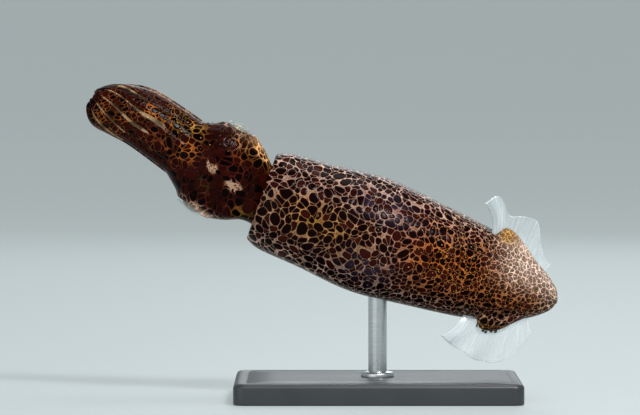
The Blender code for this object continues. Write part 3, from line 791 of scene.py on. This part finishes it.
def funnelSurface():
    # A flattened tube: rings square to its path, then the lip and back down the bore
    stations = curveThrough(funnel["stations"], 40)
    path = np.stack([stations[:, 0], 0 * stations[:, 0], stations[:, 1]], axis=1)
    along = unit(np.gradient(path, axis=0))
    left = np.array((0.0, 1.0, 0.0))
    up = np.cross(left, along)
    angle = ringTurns(48)[:, :, None]
    wide, high = stations[:, 2, None, None], stations[:, 3, None, None]
    outer = path[:, None] + np.cos(angle) * wide * left + np.sin(angle) * high * up[:, None]
    deep = curveThrough([(0.0, 0.0), (0.1, 0.5), (0.05, 0.95), (-0.3, 1.0), (-funnel["boreDepth"], 0.9)], 24)
    tip, way = path[-1], along[-1]
    flat = outer[-1] - tip
    share = 1 - deep[:, 1] * funnel["wall"] / funnel["stations"][-1][3]
    inner = tip + way * deep[:, :1, None] + flat[None] * share[:, None, None]
    return np.concatenate([outer, inner])


def placeRound(share):
    # the angle on the crown's ring at this share of half the way round, left of the middle of the back
    fine = np.linspace(1.5 * math.pi, -1.5 * math.pi, 1441)
    wide = crown["halfWidth"] - crown["armHalfDepth"]
    deep = crown["halfDepth"] - crown["armHalfDepth"]
    steps = np.hypot(np.diff(wide * np.cos(fine)), np.diff(deep * np.sin(fine)))
    length = np.concatenate([[0], np.cumsum(steps)])
    return np.interp((share + 1 - crown["roll"] / 180) * length[-1] / 3, length, fine)


def twistAt(share):
    # how far the arms have turned round their bundle, in degrees: a power of the way along the crown
    start, stop, twist = crown["twist"]
    return twist * np.clip((share - start) / (stop - start), 0, 1) ** 1.5


def armFrames(angle, sector, reach):
    # Centre line and sizes of one arm: it lies on the crown's ring at its angle, and the ring narrows,
    # drifts and turns towards the tips. Its half width is half of its share of the ring, less the gap.
    along = np.linspace(0, 1, crown["rings"])
    share = along * reach
    girth, drift = readAt(crown["stations"], share)
    end = np.sqrt(np.clip(1 - along ** 24, 0.02, 1))
    halfDepth = crown["armHalfDepth"] * (1 - crown["taper"] * along) * end
    wide = crown["halfWidth"] * girth - halfDepth
    deep = crown["halfDepth"] * girth - halfDepth
    room = (math.pi * (wide + deep) / 2 * sector - crown["gap"]) / 2
    halfWidth = np.clip(room, crown["narrowest"], crown["widest"]) * end
    angle = angle + np.radians(twistAt(share))
    y = wide * np.cos(angle)
    z = deep * np.sin(angle)
    centre = np.stack([share * crown["length"] + 0.2, y + drift, z], axis=1)
    forward = unit(np.gradient(centre, axis=0))
    outward = unit(np.stack([0 * y, np.cos(angle) / wide, np.sin(angle) / deep], axis=1))
    outward = unit(outward - (outward * forward).sum(1, keepdims=True) * forward)
    return {"centre": centre, "halfWidth": halfWidth, "halfDepth": halfDepth, "outward": outward,
            "sideways": np.cross(forward, outward), "along": along}


def readLine(line, at, places):
    # everything about an arm's line where its values at are these
    return {key: np.stack([np.interp(places, at, column) for column in np.atleast_2d(values.T)], axis=1)
            for key, values in line.items()}


def armSection(turn):
    # A rounded wedge, wider outside, for half sizes of 1: (sign cos |cos|^s (1 + w sin), sin)
    across = np.sign(np.cos(turn)) * np.abs(np.cos(turn)) ** crown["squareness"]
    return across * (1 + crown["wedge"] * np.sin(turn)), np.sin(turn)


def armSurface(line):
    # the section carried along the arm's centre line
    across, out = armSection(ringTurns(crown["sides"])[:, :, None])
    wide = line["halfWidth"][:, None, None] * across * line["sideways"][:, None]
    deep = line["halfDepth"][:, None, None] * out * line["outward"][:, None]
    return line["centre"][:, None] + wide + deep


def webSurface():
    # A shallow cup between the arms' roots: out along the ring's girth, over a thin rim, back inside,
    # and closed round the mouth.
    reach, wall = crown["webReach"], crown["webWall"]
    depth = crown["armHalfDepth"]
    profile = curveThrough([(-0.9, 0.75 * depth), (0.5, 0.55 * depth), (0.75 * reach, 0.75 * depth),
                            (reach, depth), (reach - 0.1, depth + wall), (0.6 * reach, depth + wall + 0.1),
                            (0.3 * reach, depth + 0.7), (0.12 * reach, depth + 1.1)], 60)
    x, sunk = profile.T[:, :, None]
    girth, drift = readAt(crown["stations"], np.clip(x[:, 0] / crown["length"], 0, 1))
    angle = ringTurns(120)
    y = (crown["halfWidth"] * girth[:, None] - sunk) * np.cos(angle) + drift[:, None]
    z = (crown["halfDepth"] * girth[:, None] - sunk) * np.sin(angle)
    return grid(x, y, z)


def tentacleSurface(side):
    # a thin round tube inside the crown, a little thicker at its club
    stations = curveThrough([(0.2, 0.92, -0.62, 0.23), (1.3, 0.85, -0.58, 0.21), (2.6, 0.7, -0.5, 0.19),
                             (4.0, 0.55, -0.4, 0.18), (4.8, 0.48, -0.34, 0.24), (5.6, 0.42, -0.3, 0.18),
                             (5.9, 0.4, -0.28, 0.05)], 70)
    x, away, z, radius = stations.T[:, :, None]
    drift = readAt(crown["stations"], x[:, 0] / crown["length"])[1][:, None]
    angle = ringTurns(24)
    return grid(x, side * away + drift + radius * np.cos(angle), z + radius * np.sin(angle))


armLines = [armFrames(placeRound(side * (start + end) / 2), end - start, reach)
            for side in (1, -1) for start, end, reach in crown["pairs"]]
crownParts = [armSurface(line) for line in armLines] + [webSurface(), tentacleSurface(1), tentacleSurface(-1)]
parts = [tubeMesh("headPart", toWorld(rings, headPlace)) for rings in (headSurface(), funnelSurface())]
parts += [tubeMesh("crownPart", toWorld(rings, crownPlace)) for rings in crownParts]
mesh = fused("head", parts, head["voxel"], head["relaxRounds"])
print("head fused", len(mesh.polygons))


def armPlaces(points):
    # For points in the crown's frame: how far round the nearest arm's section, from its outer middle, in
    # degrees, and how near that arm is, in its own half sizes
    best = np.full(len(points), 99.0)
    turn = np.zeros(len(points))
    for line in armLines:
        spine = line["centre"][:, 0]
        here = readLine(line, spine, points[:, 0])
        offset = (points - here["centre"])[:, 1:]
        across = (offset * here["sideways"][:, 1:]).sum(1) / here["halfWidth"][:, 0]
        out = (offset * here["outward"][:, 1:]).sum(1) / here["halfDepth"][:, 0]
        away = np.hypot(across, out) + np.maximum(points[:, 0] - spine[-1] - 0.1, 0) * 10
        turn = np.where(away < best, np.degrees(np.arctan2(np.abs(across), out)), turn)
        best = np.minimum(away, best)
    return turn, best


def headCoat(points, normals):
    # the net's colour, and bare skin on the arms' sides and inner faces and inside the crown
    x, y, z = fromWorld(points, headPlace).T
    inCrown = fromWorld(points, crownPlace)
    ahead = inCrown[:, 0]
    facing = normals @ crownPlace[1].T
    maroon, brown, orange, gold, rose, amber, eyeDarkAndCreaseShade, olive = np.array([
        (0.04, 0.005, 0.0025), (0.10, 0.025, 0.008), (0.34, 0.095, 0.012), (0.42, 0.21, 0.03),
        (0.68, 0.44, 0.32), (0.75, 0.36, 0.13), (0.012, 0.003, 0.002), (0.16, 0.13, 0.03)])

    def spotAt(spotX, width, spotY, height):
        return bell(x - spotX, width) * bell(y - spotY, height)

    # the funnel, with painted shade in the crease round it
    drop, wide, high = readAt(funnel["stations"], np.clip(x, -2.0, 3.4))
    fromFunnel = np.hypot(y / wide, (z - drop) / high)
    low = smoothStep(3.9, 3.6, x) * smoothStep(-1.2, -1.5, z)
    onFunnel = smoothStep(1.3, 1.0, fromFunnel) * low
    # the arms' pale sides start where the web between them ends; two are wide, and none shows low down
    turn, near = armPlaces(inCrown)
    share = np.clip(ahead / crown["length"], 0, 1)
    side = np.degrees(np.arctan2(inCrown[:, 2], inCrown[:, 1] - readAt(crown["stations"], share)[1]))
    side = (side - twistAt(share) + 90) % 360 - 90
    past = ahead - np.interp(side, (-90, 0, 52, 60, 152, 166, 270), (3.4, 4.1, 4.1, 1.9, 1.9, 0.6, 2.6))
    wider = 14 * bell(side - 102, 12) * smoothStep(3.2, 0.6, past)
    wider = wider + 9 * bell(side - 72, 12) * bell(past - 2.2, 1.5) - 13 * bell(side - 140, 16)
    wider = wider - 22 * smoothStep(0.4 + 1.2 * bell(side - 72, 12), 0.0, past)
    flank = smoothStep(50, 60, turn + wider) * smoothStep(-10, 4, side)
    flank = flank * (1 - 0.6 * smoothStep(166, 176, side))
    onArm = smoothStep(0.0, 0.25, past) * smoothStep(1.6, 1.2, near)
    inner = smoothStep(0.2, -0.3, (facing[:, 1:] * unit(inCrown[:, 1:])).sum(1)) * smoothStep(0.0, 0.6, ahead)
    # thin clear skin along the margins of the crown and the head, its cells faded, and painted pale there as
    # a rim light
    rim = 0.85 * bell(side - 177, 8) * smoothStep(0.2, 0.7, ahead) * smoothStep(4.8, 3.9, ahead)
    rim = np.maximum(rim, 0.6 * smoothStep(2.75, 3.2, y) * bell(x - 2.0, 2.0))
    fade = np.maximum(rim, 0.25 * smoothStep(2.4, 3.0, -y) * bell(x - 2.2, 1.8))
    color = layered(points, maroon, [
        (brown, smoothStep(5.4, 7.4, x)),
        (orange, 0.9 * spotAt(9.2, 1.3, -0.9, 0.8) + 0.8 * spotAt(12.0, 0.9, 0.9, 0.9)),
        (gold, 0.8 * spotAt(7.0, 1.1, -1.6, 0.8)),
        (orange, 0.7 * bell(x - 6.2, 0.9) * smoothStep(1.2, 0.2, np.abs(y))),
        (orange, 0.9 * spotAt(1.9, 1.5, -2.3, 0.7)),
        (gold, 0.75 * spotAt(1.4, 1.2, -2.5, 0.55) + 0.7 * bell(x - 0.2, 0.8) * smoothStep(0.9, 1.9, y)),
        # the eyes, dark beneath the skin
        (eyeDarkAndCreaseShade, 0.8 * (spotAt(4.7, 0.9, -2.0, 0.8) + spotAt(4.8, 0.9, 1.9, 0.8))),
        (olive, 0.85 * spotAt(3.9, 0.4, 1.4, 0.4)),
        (rose, 0.85 * smoothStep(2.5, 3.2, np.abs(y)) * bell(x - 2.6, 2.6)),
        (amber, 0.9 * smoothStep(1.9, 2.4, -y) * bell(x - 1.6, 1.5)),
        (rose * 0.8, 0.75 * smoothStep(0.2, -1.2, z)),
        # painted shade: a dark ring along the crease round the funnel
        (eyeDarkAndCreaseShade, 0.85 * bell(fromFunnel - 1.4, 0.16) * low),
        (rose * 1.1, 0.7 * onFunnel),
        # painted rim light: pale colour along the crown's and the head's margins, over the clear skin
        (rose, rim * 1.1),
    ])
    return {"netColor": color, "bare": np.maximum(onArm * flank, inner), "violet": 0 * x,
            "fade": np.maximum(fade, 0.2 * onFunnel), "specks": 0.12 * spotAt(7.6, 1.1, -1.3, 1.0),
            "gapScale": 1 + 0.6 * smoothStep(0.45, 0.9, color[:, :3].max(axis=1)) + 1.2 * onFunnel}


# ahead of the mantle's edge, width of a cell; ahead, radius
headCells = ((-2.6, 1.0, 5.0, 7.0, 9.0, 13.6), (0.50, 0.62, 0.58, 0.46, 0.42, 0.34))
headGirth = ((-2.6, 0.3, 2.0, 3.5, 5.5, 6.5, 9.0, 11.5, 13.0, 13.6),
             (1.4, 1.85, 2.6, 2.85, 2.4, 2.1, 2.0, 1.8, 1.2, 0.6))


def headMeasure(points):
    # the way ahead, and the turn from the middle of the back and of the belly, about the bent crown's middle
    x, y, z = points.T
    drift = readAt(crown["stations"], np.clip((x - pose["headLength"]) / crown["length"], 0, 1))[1]
    lean = np.maximum(x - pose["headLength"], 0) * math.tan(math.radians(-pose["crownBend"]))
    turn = np.arctan2(y - drift - lean, z)
    return x, turn, opposite(turn)


measured = fromWorld(pointsOf(mesh), headPlace)
# the two pale patches on the head: ahead, and turned from the middle of the back; then the head's ends
blotches = skinMeasure(np.array([4.02, 1.97, -2.6, 13.6]), np.array([0.03, 0.2, 0, 0]), np.full(4, 3.0),
                       headCells, headGirth)[0]
headSkin = makeSkinMaterial("headSkin", gap=0.06, softness=0.08, thinShare=0.5, dotShare=0.4, patchiness=0.6,
                            cellColor=(0.0020, 0.0003, 0.0003, 1), thinColor=(0.028, 0.0028, 0.0014, 1),
                            dotColor=(0.08, 0.012, 0.006, 1), bareColor=(0.22, 0.135, 0.068, 1),
                            blotchOne=blotches[0], blotchTwo=blotches[1], blotchSize=0.6)
storeMeasure(mesh, *headMeasure(measured), headCells, headGirth)
for name, values in headCoat(pointsOf(mesh), readRows(mesh.vertex_normals, "vector")).items():
    store(mesh, name, values)
addPiece("headSkin", mesh, headSkin, "head_skin", "head", "funnel", "tentacle_left", "tentacle_right",
         *(f"arm_{side}_{k}" for side in ("left", "right") for k in range(1, 5)))
print("head done")

# The suckers, two rows on each arm's inner face

suckers = {"aRow": 15, "radius": 0.16, "shrink": 0.62, "slant": 27.0, "splay": 0.35, "sides": 12}


def suckerSurfaces():
    # Each cup is a small turned shape: root, rim and hollow, carried to its place on the arm
    levels = np.array([(0.6, -0.9), (0.62, 0.1), (0.95, 0.5), (1.0, 0.8), (0.82, 0.92), (0.6, 0.75),
                       (0.45, 0.45), (0.1, 0.4)])
    roll = ringTurns(suckers["sides"])[:, :, None]
    shape = []
    for line in armLines:
        for row in (-1, 1):
            step = 0.1 + 0.85 * (np.arange(suckers["aRow"]) + 0.25 * (1 + row)) / suckers["aRow"]
            here = readLine(line, line["along"], step)
            across, out = armSection(math.radians(-90 + row * suckers["slant"]))
            spot = (here["centre"] + here["sideways"] * across * here["halfWidth"]
                    + here["outward"] * out * here["halfDepth"])
            into = unit(-here["outward"] + here["sideways"] * row * suckers["splay"])
            one = unit(np.cross(into, (0.3, 0.5, 0.81)))
            two = np.cross(into, one)
            radius = suckers["radius"] * (1 - suckers["shrink"] * step)
            ring = np.cos(roll) * one[:, None] + np.sin(roll) * two[:, None]
            cup = into[:, None, None] * levels[:, 1, None, None] + ring[:, None] * levels[:, 0, None, None]
            shape.append(spot[:, None, None] + radius[:, None, None, None] * cup)
    return np.concatenate(shape)


def makeSuckerMaterial():
    material, tree, shader = newMaterial("suckerFlesh", coatWeight=0.4, coatRoughness=0.12, sheenWeight=0.1)
    cloud = noise(ownPlace(tree), 5000.0, 3.0)
    setInputs(shader, baseColor=blend(cloud, (0.34, 0.22, 0.14, 1), (0.72, 0.6, 0.48, 1)),
              roughness=timesPlus(cloud, 0.3, 0.25))
    return material


cups = toWorld(suckerSurfaces(), crownPlace)
mesh = joined("suckers", [tubeMesh("cup", cup) for cup in cups])
addPiece("suckers", mesh, makeSuckerMaterial(), "arm_skin")
print("suckers done", len(cups))

# The eyes, and the clear cornea over each

eyeLook = {
    "pupilWide": 0.52,       # shares of the eye's radius
    "pupilHigh": 0.2,
    "pupilBend": 0.1,
    "irisEdge": 0.86,
    "corneaRadius": 1.16,
    "corneaWall": 0.05,
    "corneaRim": 3.30,       # from the head's middle plane, as is the crest
    "corneaCrest": 3.60,
}


def eyeSurface(side):
    # an ellipsoid, flattened from side to side, its pole on the eye's axis
    polar = np.linspace(0.02, math.pi - 0.02, 60)[:, None]
    turn = ringTurns(72)
    x, y, z = head["eye"]
    plane = head["eyeRadius"] * np.sin(polar)
    height = y + head["eyeHalfThickness"] * np.cos(polar)
    return grid(x + plane * np.cos(turn), side * height, z + plane * np.sin(turn))


def makeEyeMaterial():
    # A dark slit pupil, bowed a little, in a silver and gold iris with fine rays; the back is silver
    material, tree, shader = newMaterial("eyeball", coatWeight=0.25, coatRoughness=0.03, coatIOR=1.38,
                                         specularIORLevel=0.06)
    spot = fromMesh(tree, "eyePlace")["Vector"]
    part = split(spot)
    bow = times(times(part["X"], part["X"]), eyeLook["pupilBend"] / eyeLook["pupilWide"] ** 2)
    high = maths("DIVIDE", plus(part["Z"], bow), eyeLook["pupilHigh"])
    wide = maths("DIVIDE", part["X"], eyeLook["pupilWide"])
    away = maths("SQRT", plus(*(maths("POWER", maths("ABSOLUTE", share), 2.0) for share in (high, wide))))
    pupil = times(without(ramp(away, 0.92, 1.06)), isOver(part["Y"], 0.0))
    radius = vectorMaths("MULTIPLY", spot, (1.0, 0.0, 1.0))
    rays = noise(vectorMaths("NORMALIZE", radius), 9.0, 4.0)
    iris = blend(ramp(rays, 0.35, 0.65), (0.10, 0.07, 0.035, 1), (0.50, 0.44, 0.30, 1))
    iris = blend(ramp(noise(spot, 6.0, 3.0), 0.5, 0.72), iris, (0.25, 0.33, 0.27, 1))
    outside = ramp(vectorMaths("LENGTH", radius), eyeLook["irisEdge"] - 0.08, eyeLook["irisEdge"])
    iris = blend(outside, iris, (0.03, 0.015, 0.012, 1))
    setInputs(shader, baseColor=blend(pupil, iris, (0.002, 0.002, 0.003, 1)),
              metallic=timesPlus(pupil, -0.3, 0.35), roughness=timesPlus(rays, 0.2, 0.3),
              normal=bumped(rays, 0.3, 0.00002))
    return material


def corneaSurface(side):
    # A thin clear dome: its outer face rises as a shallow paraboloid over the eye, its inner face lies
    # a little below, and both meet at the rim under the lid.
    edge = eyeLook["corneaRadius"]
    r = np.concatenate([np.linspace(0.02, edge, 26), np.linspace(edge, 0.02, 26)])[:, None]
    outer = (np.arange(52) < 26)[:, None]
    turn = ringTurns(72)
    x, _, z = head["eye"]
    rise = (eyeLook["corneaCrest"] - eyeLook["corneaRim"]) * (1 - (r / edge) ** 2)
    height = eyeLook["corneaRim"] + rise - np.where(outer, 0.0, eyeLook["corneaWall"])
    return grid(x + r * np.cos(turn), side * height, z + r * np.sin(turn))


def makeCorneaMaterial():
    # clear in the middle, milky towards its rim
    material, tree, shader = newMaterial("clearCornea", roughness=0.15, coatWeight=0.3, coatRoughness=0.1)
    milk = times(noise(ownPlace(tree), 1800.0, 2.0), ramp(fromMesh(tree, "rimShare")["Fac"], 0.7, 1.0))
    setInputs(shader, baseColor=blend(milk, (0.012, 0.016, 0.02, 1), (0.50, 0.60, 0.62, 1)),
              alpha=timesPlus(milk, 0.25, 0.05))
    return material


eyeballMaterial = makeEyeMaterial()
corneaMaterial = makeCorneaMaterial()
for side, word in ((1, "Left"), (-1, "Right")):
    middle = np.array(head["eye"]) * (1, side, 1)
    mesh = tubeMesh("eye", eyeSurface(side))
    sizes = (head["eyeRadius"], side * head["eyeHalfThickness"], head["eyeRadius"])
    store(mesh, "eyePlace", (pointsOf(mesh) - middle) / sizes)
    carry(mesh, headPlace)
    addPiece("eye" + word, mesh, eyeballMaterial, "eye", "eye_" + word.lower())
    rings = corneaSurface(side)
    mesh = tubeMesh("cornea", toWorld(rings, headPlace))
    away = np.hypot(*(rings - middle).reshape(-1, 3).T[[0, 2]])
    store(mesh, "rimShare", np.append(away / eyeLook["corneaRadius"], (0, 0)))
    addPiece("cornea" + word, mesh, corneaMaterial, "eye")
print("eyes done")

# The fins' clear membranes, which grow out of the thick roots

fins = {
    "root": (16.1, 20.3),
    "rootSink": 0.7,
    "bend": 0.7,
    "columns": 150,
    "rows": 60,
    "thickness": 0.07,
    "ripple": 0.16,          # in radians
    "ribs": (36.0, 1.2),     # how often they change along the root and outwards
    "cellRadius": 0.34,      # of the lone pigment cells, in their own spacing
    # share of the root, reach, sweep forward in degrees, lift towards the back in degrees
    "right": [(0.0, 2.9, 40.0, 52.0), (0.12, 3.2, 29.0, 42.0), (0.24, 1.9, 16.0, 14.0),
              (0.36, 2.1, 2.0, 4.0), (0.47, 2.3, -4.0, 0.0), (0.58, 2.4, -8.0, -2.0), (0.7, 1.75, -7.0, -4.0),
              (0.8, 1.2, -6.0, -4.0), (0.9, 0.75, -14.0, 0.0), (1.0, 0.6, -30.0, 4.0)],
    "left": [(0.0, 2.9, 34.0, 58.0), (0.14, 2.7, 26.0, 44.0), (0.3, 2.75, 13.0, 10.0), (0.5, 3.15, 3.0, 0.0),
             (0.7, 3.15, -6.0, -8.0), (0.9, 2.2, -24.0, 0.0), (1.0, 1.0, -42.0, 6.0)],
}


def finSurface(side, fan):
    # From each point of the root a ray runs outwards; its direction turns from straight out at the root
    # to the fan's sweep and lift at the edge, as a power of the distance. A small ripple runs along it.
    share = np.linspace(0, 1, fins["columns"])
    reach, sweep, lift = readAt(fan, share)
    sweep, lift = np.radians(sweep), np.radians(lift)
    behind = fins["root"][0] + share * (fins["root"][1] - fins["root"][0])
    halfWidth = readAt(mantle["outside"], behind)[0] - fins["rootSink"]
    rootLift = math.radians(mantle["rootLift"])
    root = np.stack([-behind, halfWidth * math.cos(rootLift) * side,
                     halfWidth * mantle["backDepth"] * math.sin(rootLift)], axis=1)
    out = np.linspace(0, 1, fins["rows"])[:, None]
    bend = out ** fins["bend"]
    ripple = fins["ripple"] * np.sin(share * 17 + out * 2.4) * out
    direction = np.stack([np.sin(sweep) * bend, np.cos(sweep * bend) * np.cos(lift * bend + ripple) * side,
                          np.sin(lift * bend + ripple)], axis=2)
    length = (reach + fins["rootSink"]) * (1 + 0.01 * np.sin(share * 19))
    step = unit(direction) * (length / (fins["rows"] - 1))[None, :, None]
    step[0] = 0
    middle = root[None] + np.cumsum(step, axis=0)
    lobe = mantle["leftLobe" if side > 0 else "rightLobe"]
    lobeReach = np.where((behind > lobe[0][0]) & (behind < lobe[-1][0]), readAt(lobe, behind)[0], 0)
    beyond = out * length - fins["rootSink"] - lobeReach + 2 * smoothStep(0.55, 0.3, lobeReach)
    return middle, grid(share[None], out, beyond)


def makeMembraneMaterial():
    # Clear skin with fine ribs across it, thicker and milkier near its root, and a few pigment cells there
    material, tree, shader = newMaterial("finMembrane", coatWeight=0.6, coatRoughness=0.1, sheenWeight=0.4,
                                         sheenRoughness=0.3, roughness=0.25)
    part = split(fromMesh(tree, "finPlace")["Vector"])
    stretched = {axis: times(part[axis], often) for axis, often in zip("XY", fins["ribs"])}
    ribs = noise(node(tree, "CombineXYZ", stretched).outputs[0], 1.0, 2.0)
    spots = voronoi(fromMesh(tree, "spotPlace")["Vector"], 1.0, 0.7)
    row = maths("ABSOLUTE", split(spots["Position"])["Y"])
    shown = isUnder(timesPlus(chances(spots["Color"])[0], 0.9, row), 1.1)
    shown = times(isUnder(spots["Distance"], fins["cellRadius"]), shown)
    clear = blend(ramp(ribs, 0.3, 0.75), (0.62, 0.72, 0.74, 1), (0.95, 0.97, 0.98, 1))
    # milkier on the ribs, near the root, at the edge and in front
    film = timesPlus(ramp(ribs, 0.35, 0.8), 0.12, 0.16)
    film = plus(film, times(without(ramp(part["Z"], 0.1, 0.4)), 0.1))
    film = plus(film, times(ramp(part["Y"], 0.965, 1.0), 0.3))
    film = timesPlus(without(ramp(part["X"], 0.10, 0.22)), 0.55, film)
    setInputs(shader, baseColor=blend(shown, clear, (0.03, 0.008, 0.008, 1)), alpha=larger(film, shown),
              normal=bumped(ribs, 0.5, 0.00004))
    return material


finMembrane = makeMembraneMaterial()
for side, word in ((1, "left"), (-1, "right")):
    middle, finPlace = finSurface(side, fins[word])
    points = middle.reshape(-1, 3)
    mesh = bpy.data.meshes.new("fin")
    faces = gridFaces(*middle.shape[:2], around=False)
    mesh.from_pydata(toWorld(points, mantlePlace).tolist(), [], faces.tolist())
    store(mesh, "finPlace", finPlace.reshape(-1, 3))
    # lone pigment cells stand beyond the left lobe's edge only
    across = finPlace[:, :, 2] / 0.3 + (0.0 if side > 0 else 20.0)
    along = fins["root"][1] * finPlace[:, :, 0] / 1.3
    store(mesh, "spotPlace", np.stack([along, across, 0 * across], axis=-1).reshape(-1, 3))
    fin = addPiece("finMembrane" + word.capitalize(), mesh, finMembrane, "fin_membrane", "fin_" + word)
    thicken = fin.modifiers.new("thickness", "SOLIDIFY")
    thicken.thickness = fins["thickness"] * mm
    thicken.offset = 0.0
print("fins done")

# The stand: a base with soft edges and a fine groove, a rod, and the collar that holds it

stand = {"edge": 0.35, "corner": 0.7, "collarRadius": 1.15, "rodRadius": 0.65, "intoMantle": 0.42}
baseLow, baseHigh = (np.array(corner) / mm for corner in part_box("stand_base"))
rodLow, rodHigh = (np.array(corner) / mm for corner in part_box("stand_rod"))
rodX = (rodLow[0] + rodHigh[0]) / 2


def baseSurface():
    # A rounded rectangle carried up a profile with a soft edge above and below, and the groove on top
    half = (baseHigh - baseLow)[:2] / 2
    centre = (baseHigh + baseLow)[:2] / 2
    tall = baseHigh[2] - baseLow[2]
    edge, corner = stand["edge"], stand["corner"]
    arc = np.linspace(0, math.pi / 2, 7)
    inset = np.concatenate([edge * (1 - np.sin(arc)) * 0.4, edge * (1 - np.cos(arc)),
                            [edge + 0.35, edge + 0.45, edge + 0.6, edge + 0.7, 3.0, half[1] * 0.98]])
    height = np.concatenate([edge * (1 - np.cos(arc)) * 0.4, tall - edge + edge * np.sin(arc),
                             [tall, tall - 0.06, tall - 0.06, tall, tall, tall]])
    turn = ringTurns(160)[0]
    outward = np.stack([np.cos(turn), np.sin(turn)], axis=1)
    outline = np.sign(outward) * (half - corner) + corner * outward
    flat = centre + outline * (1 - inset[:, None, None] / half)
    upright = np.broadcast_to((baseLow[2] + height)[:, None, None], (len(height), len(turn), 1))
    return np.concatenate([flat, upright], axis=2)


def turnedSurface(profile, x, y, sides=72):
    # a profile of (radius, height) turned about an upright axis
    radius, height = np.array(profile, float).T[:, :, None]
    turn = ringTurns(sides)
    return grid(x + radius * np.cos(turn), y + radius * np.sin(turn), height)


def makePlasticMaterial():
    material, tree, shader = newMaterial("satinPlastic", coatWeight=0.15, coatRoughness=0.3)
    spot = ownPlace(tree)
    cloud = noise(spot, 300.0, 3.0)
    setInputs(shader, baseColor=blend(cloud, (0.018, 0.02, 0.023, 1), (0.036, 0.04, 0.045, 1)),
              roughness=timesPlus(cloud, 0.16, 0.34), normal=bumped(noise(spot, 9000.0, 4.0), 0.35, 0.00001))
    return material


def makeSteelMaterial():
    material, tree, shader = newMaterial("brushedSteel", metallic=1.0, anisotropic=0.4)
    stretched = node(tree, "Mapping", {"Vector": ownPlace(tree), "Scale": (900.0, 900.0, 16000.0)}).outputs[0]
    lines = noise(stretched, 1.0, 3.0)
    setInputs(shader, baseColor=blend(lines, (0.42, 0.43, 0.44, 1), (0.68, 0.69, 0.70, 1)),
              roughness=timesPlus(lines, 0.22, 0.2), normal=bumped(lines, 0.25, 0.00001))
    return material


steel = makeSteelMaterial()
addPiece("standBase", tubeMesh("base", baseSurface()), makePlasticMaterial(), "stand_base", "stand_base")
# the rod and its collar, as radius and height; the rod goes on into the mantle
top = baseHigh[2]
end = rodHigh[2] + stand["intoMantle"]
r = stand["rodRadius"]
rod = curveThrough([(0.3, top - 0.9), (0.62, top - 0.85), (r, top - 0.7), (r, top + 1.0), (r, end - 0.2),
                    (r, end + 0.3), (0.5, end + 0.4), (0.05, end + 0.42)], 90)
addPiece("standRod", tubeMesh("rod", turnedSurface(rod, rodX, 0.0)), steel, "stand_rod", "stand_rod")
r = stand["collarRadius"]
collar = np.array([(0.3, -0.3), (1.1, -0.3), (r, 0.02), (r, 0.24), (1.1, 0.32), (1.0, 0.36), (0.8, 0.4),
                   (0.7, 0.42), (0.66, 0.4), (0.3, 0.35)]) + (0, top)
addPiece("standCollar", tubeMesh("collar", turnedSurface(collar, rodX, 0.0)), steel, "stand_rod")
print("stand done")

# The floor, the lights and the camera

studio = {
    "distance": 300.0,       # mm from the camera to the animal
    "aim": (-0.13, 0.0, 13.37),
    "elevation": 2.0,
    "viewWidth": 44.8,       # mm across the picture at the animal
    "floorColor": (0.27, 0.30, 0.303, 1),
    "floorGlow": 0.95,       # the floor and wall shine a little, as if lit evenly from all round
}


def bowlSurface():
    # a wide flat floor that turns up into a wall all round, as a profile of radius and height turned about
    # the middle
    arc = np.linspace(0, math.pi / 2, 30)[1:]
    radius = np.concatenate([[0.5, 60, 150, 300, 600, 900], 900 + 600 * np.sin(arc), [1500.0]])
    height = np.concatenate([np.zeros(6), 600 * (1 - np.cos(arc)), [1500.0]])
    return turnedSurface(np.stack([radius, height], axis=1), 0.0, 0.0, 96)


def makeFloorMaterial():
    material, tree, shader = newMaterial(
        "paleFloor", roughness=0.6, specularIORLevel=0.2, emissionColor=studio["floorColor"],
        emissionStrength=studio["floorGlow"])
    low = [v * 0.97 for v in studio["floorColor"][:3]] + [1]
    setInputs(shader, baseColor=blend(noise(ownPlace(tree), 6.0, 2.0), low, studio["floorColor"]))
    return material


bowl = bowlSurface()
mesh = bpy.data.meshes.new("floor")
mesh.from_pydata((bowl.reshape(-1, 3) * mm).tolist(), [], gridFaces(*bowl.shape[:2])[:, ::-1].tolist())
mesh.materials.append(makeFloorMaterial())
mesh.shade_smooth()
newObject("floor", mesh)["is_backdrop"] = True


def addLight(name, spot, target, size, power, color=(1, 1, 1)):
    # a soft square light, placed in millimetres
    lamp = bpy.data.lights.new(name, "AREA")
    lamp.size = size * mm
    lamp.energy = power
    lamp.color = color
    holder = newObject(name, lamp)
    holder.location = Vector(spot) * mm
    holder.rotation_euler = (Vector(target) - Vector(spot)).to_track_quat("-Z", "Y").to_euler()


middle = studio["aim"]
addLight("keyLight", (120, -250, 260), middle, 70, 1.1)
addLight("fillLight", (-240, -320, 60), middle, 360, 0.45, (0.95, 0.98, 1.0))
addLight("topLight", (60, 40, 320), middle, 160, 0.3)
addLight("backLight", (40, 220, 130), middle, 120, 0.12, (0.92, 0.97, 1.0))

world = bpy.data.worlds.new("studioAir")
world.use_nodes = True
setInputs(world.node_tree.nodes["Background"], color=(0.80, 0.87, 0.90, 1), strength=0.3)
bpy.context.scene.world = world
bpy.context.scene.view_settings.view_transform = "Standard"

camera = bpy.data.cameras.new("camera")
camera.sensor_width = 36.0
camera.lens = camera.sensor_width * studio["distance"] / studio["viewWidth"]
camera.clip_start, camera.clip_end = 0.01, 5.0
eyePoint = newObject("camera", camera)
tilt = math.radians(studio["elevation"])
eyePoint.location = (Vector(middle) + studio["distance"] * Vector((0, -math.cos(tilt), math.sin(tilt)))) * mm
eyePoint.rotation_euler = (math.pi / 2 - tilt, 0, 0)
bpy.context.scene.camera = eyePoint

sizes = {"cad": [list(corner) for corner in cadBox], "visual": [list(corner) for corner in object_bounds()]}
print("size", sizes)
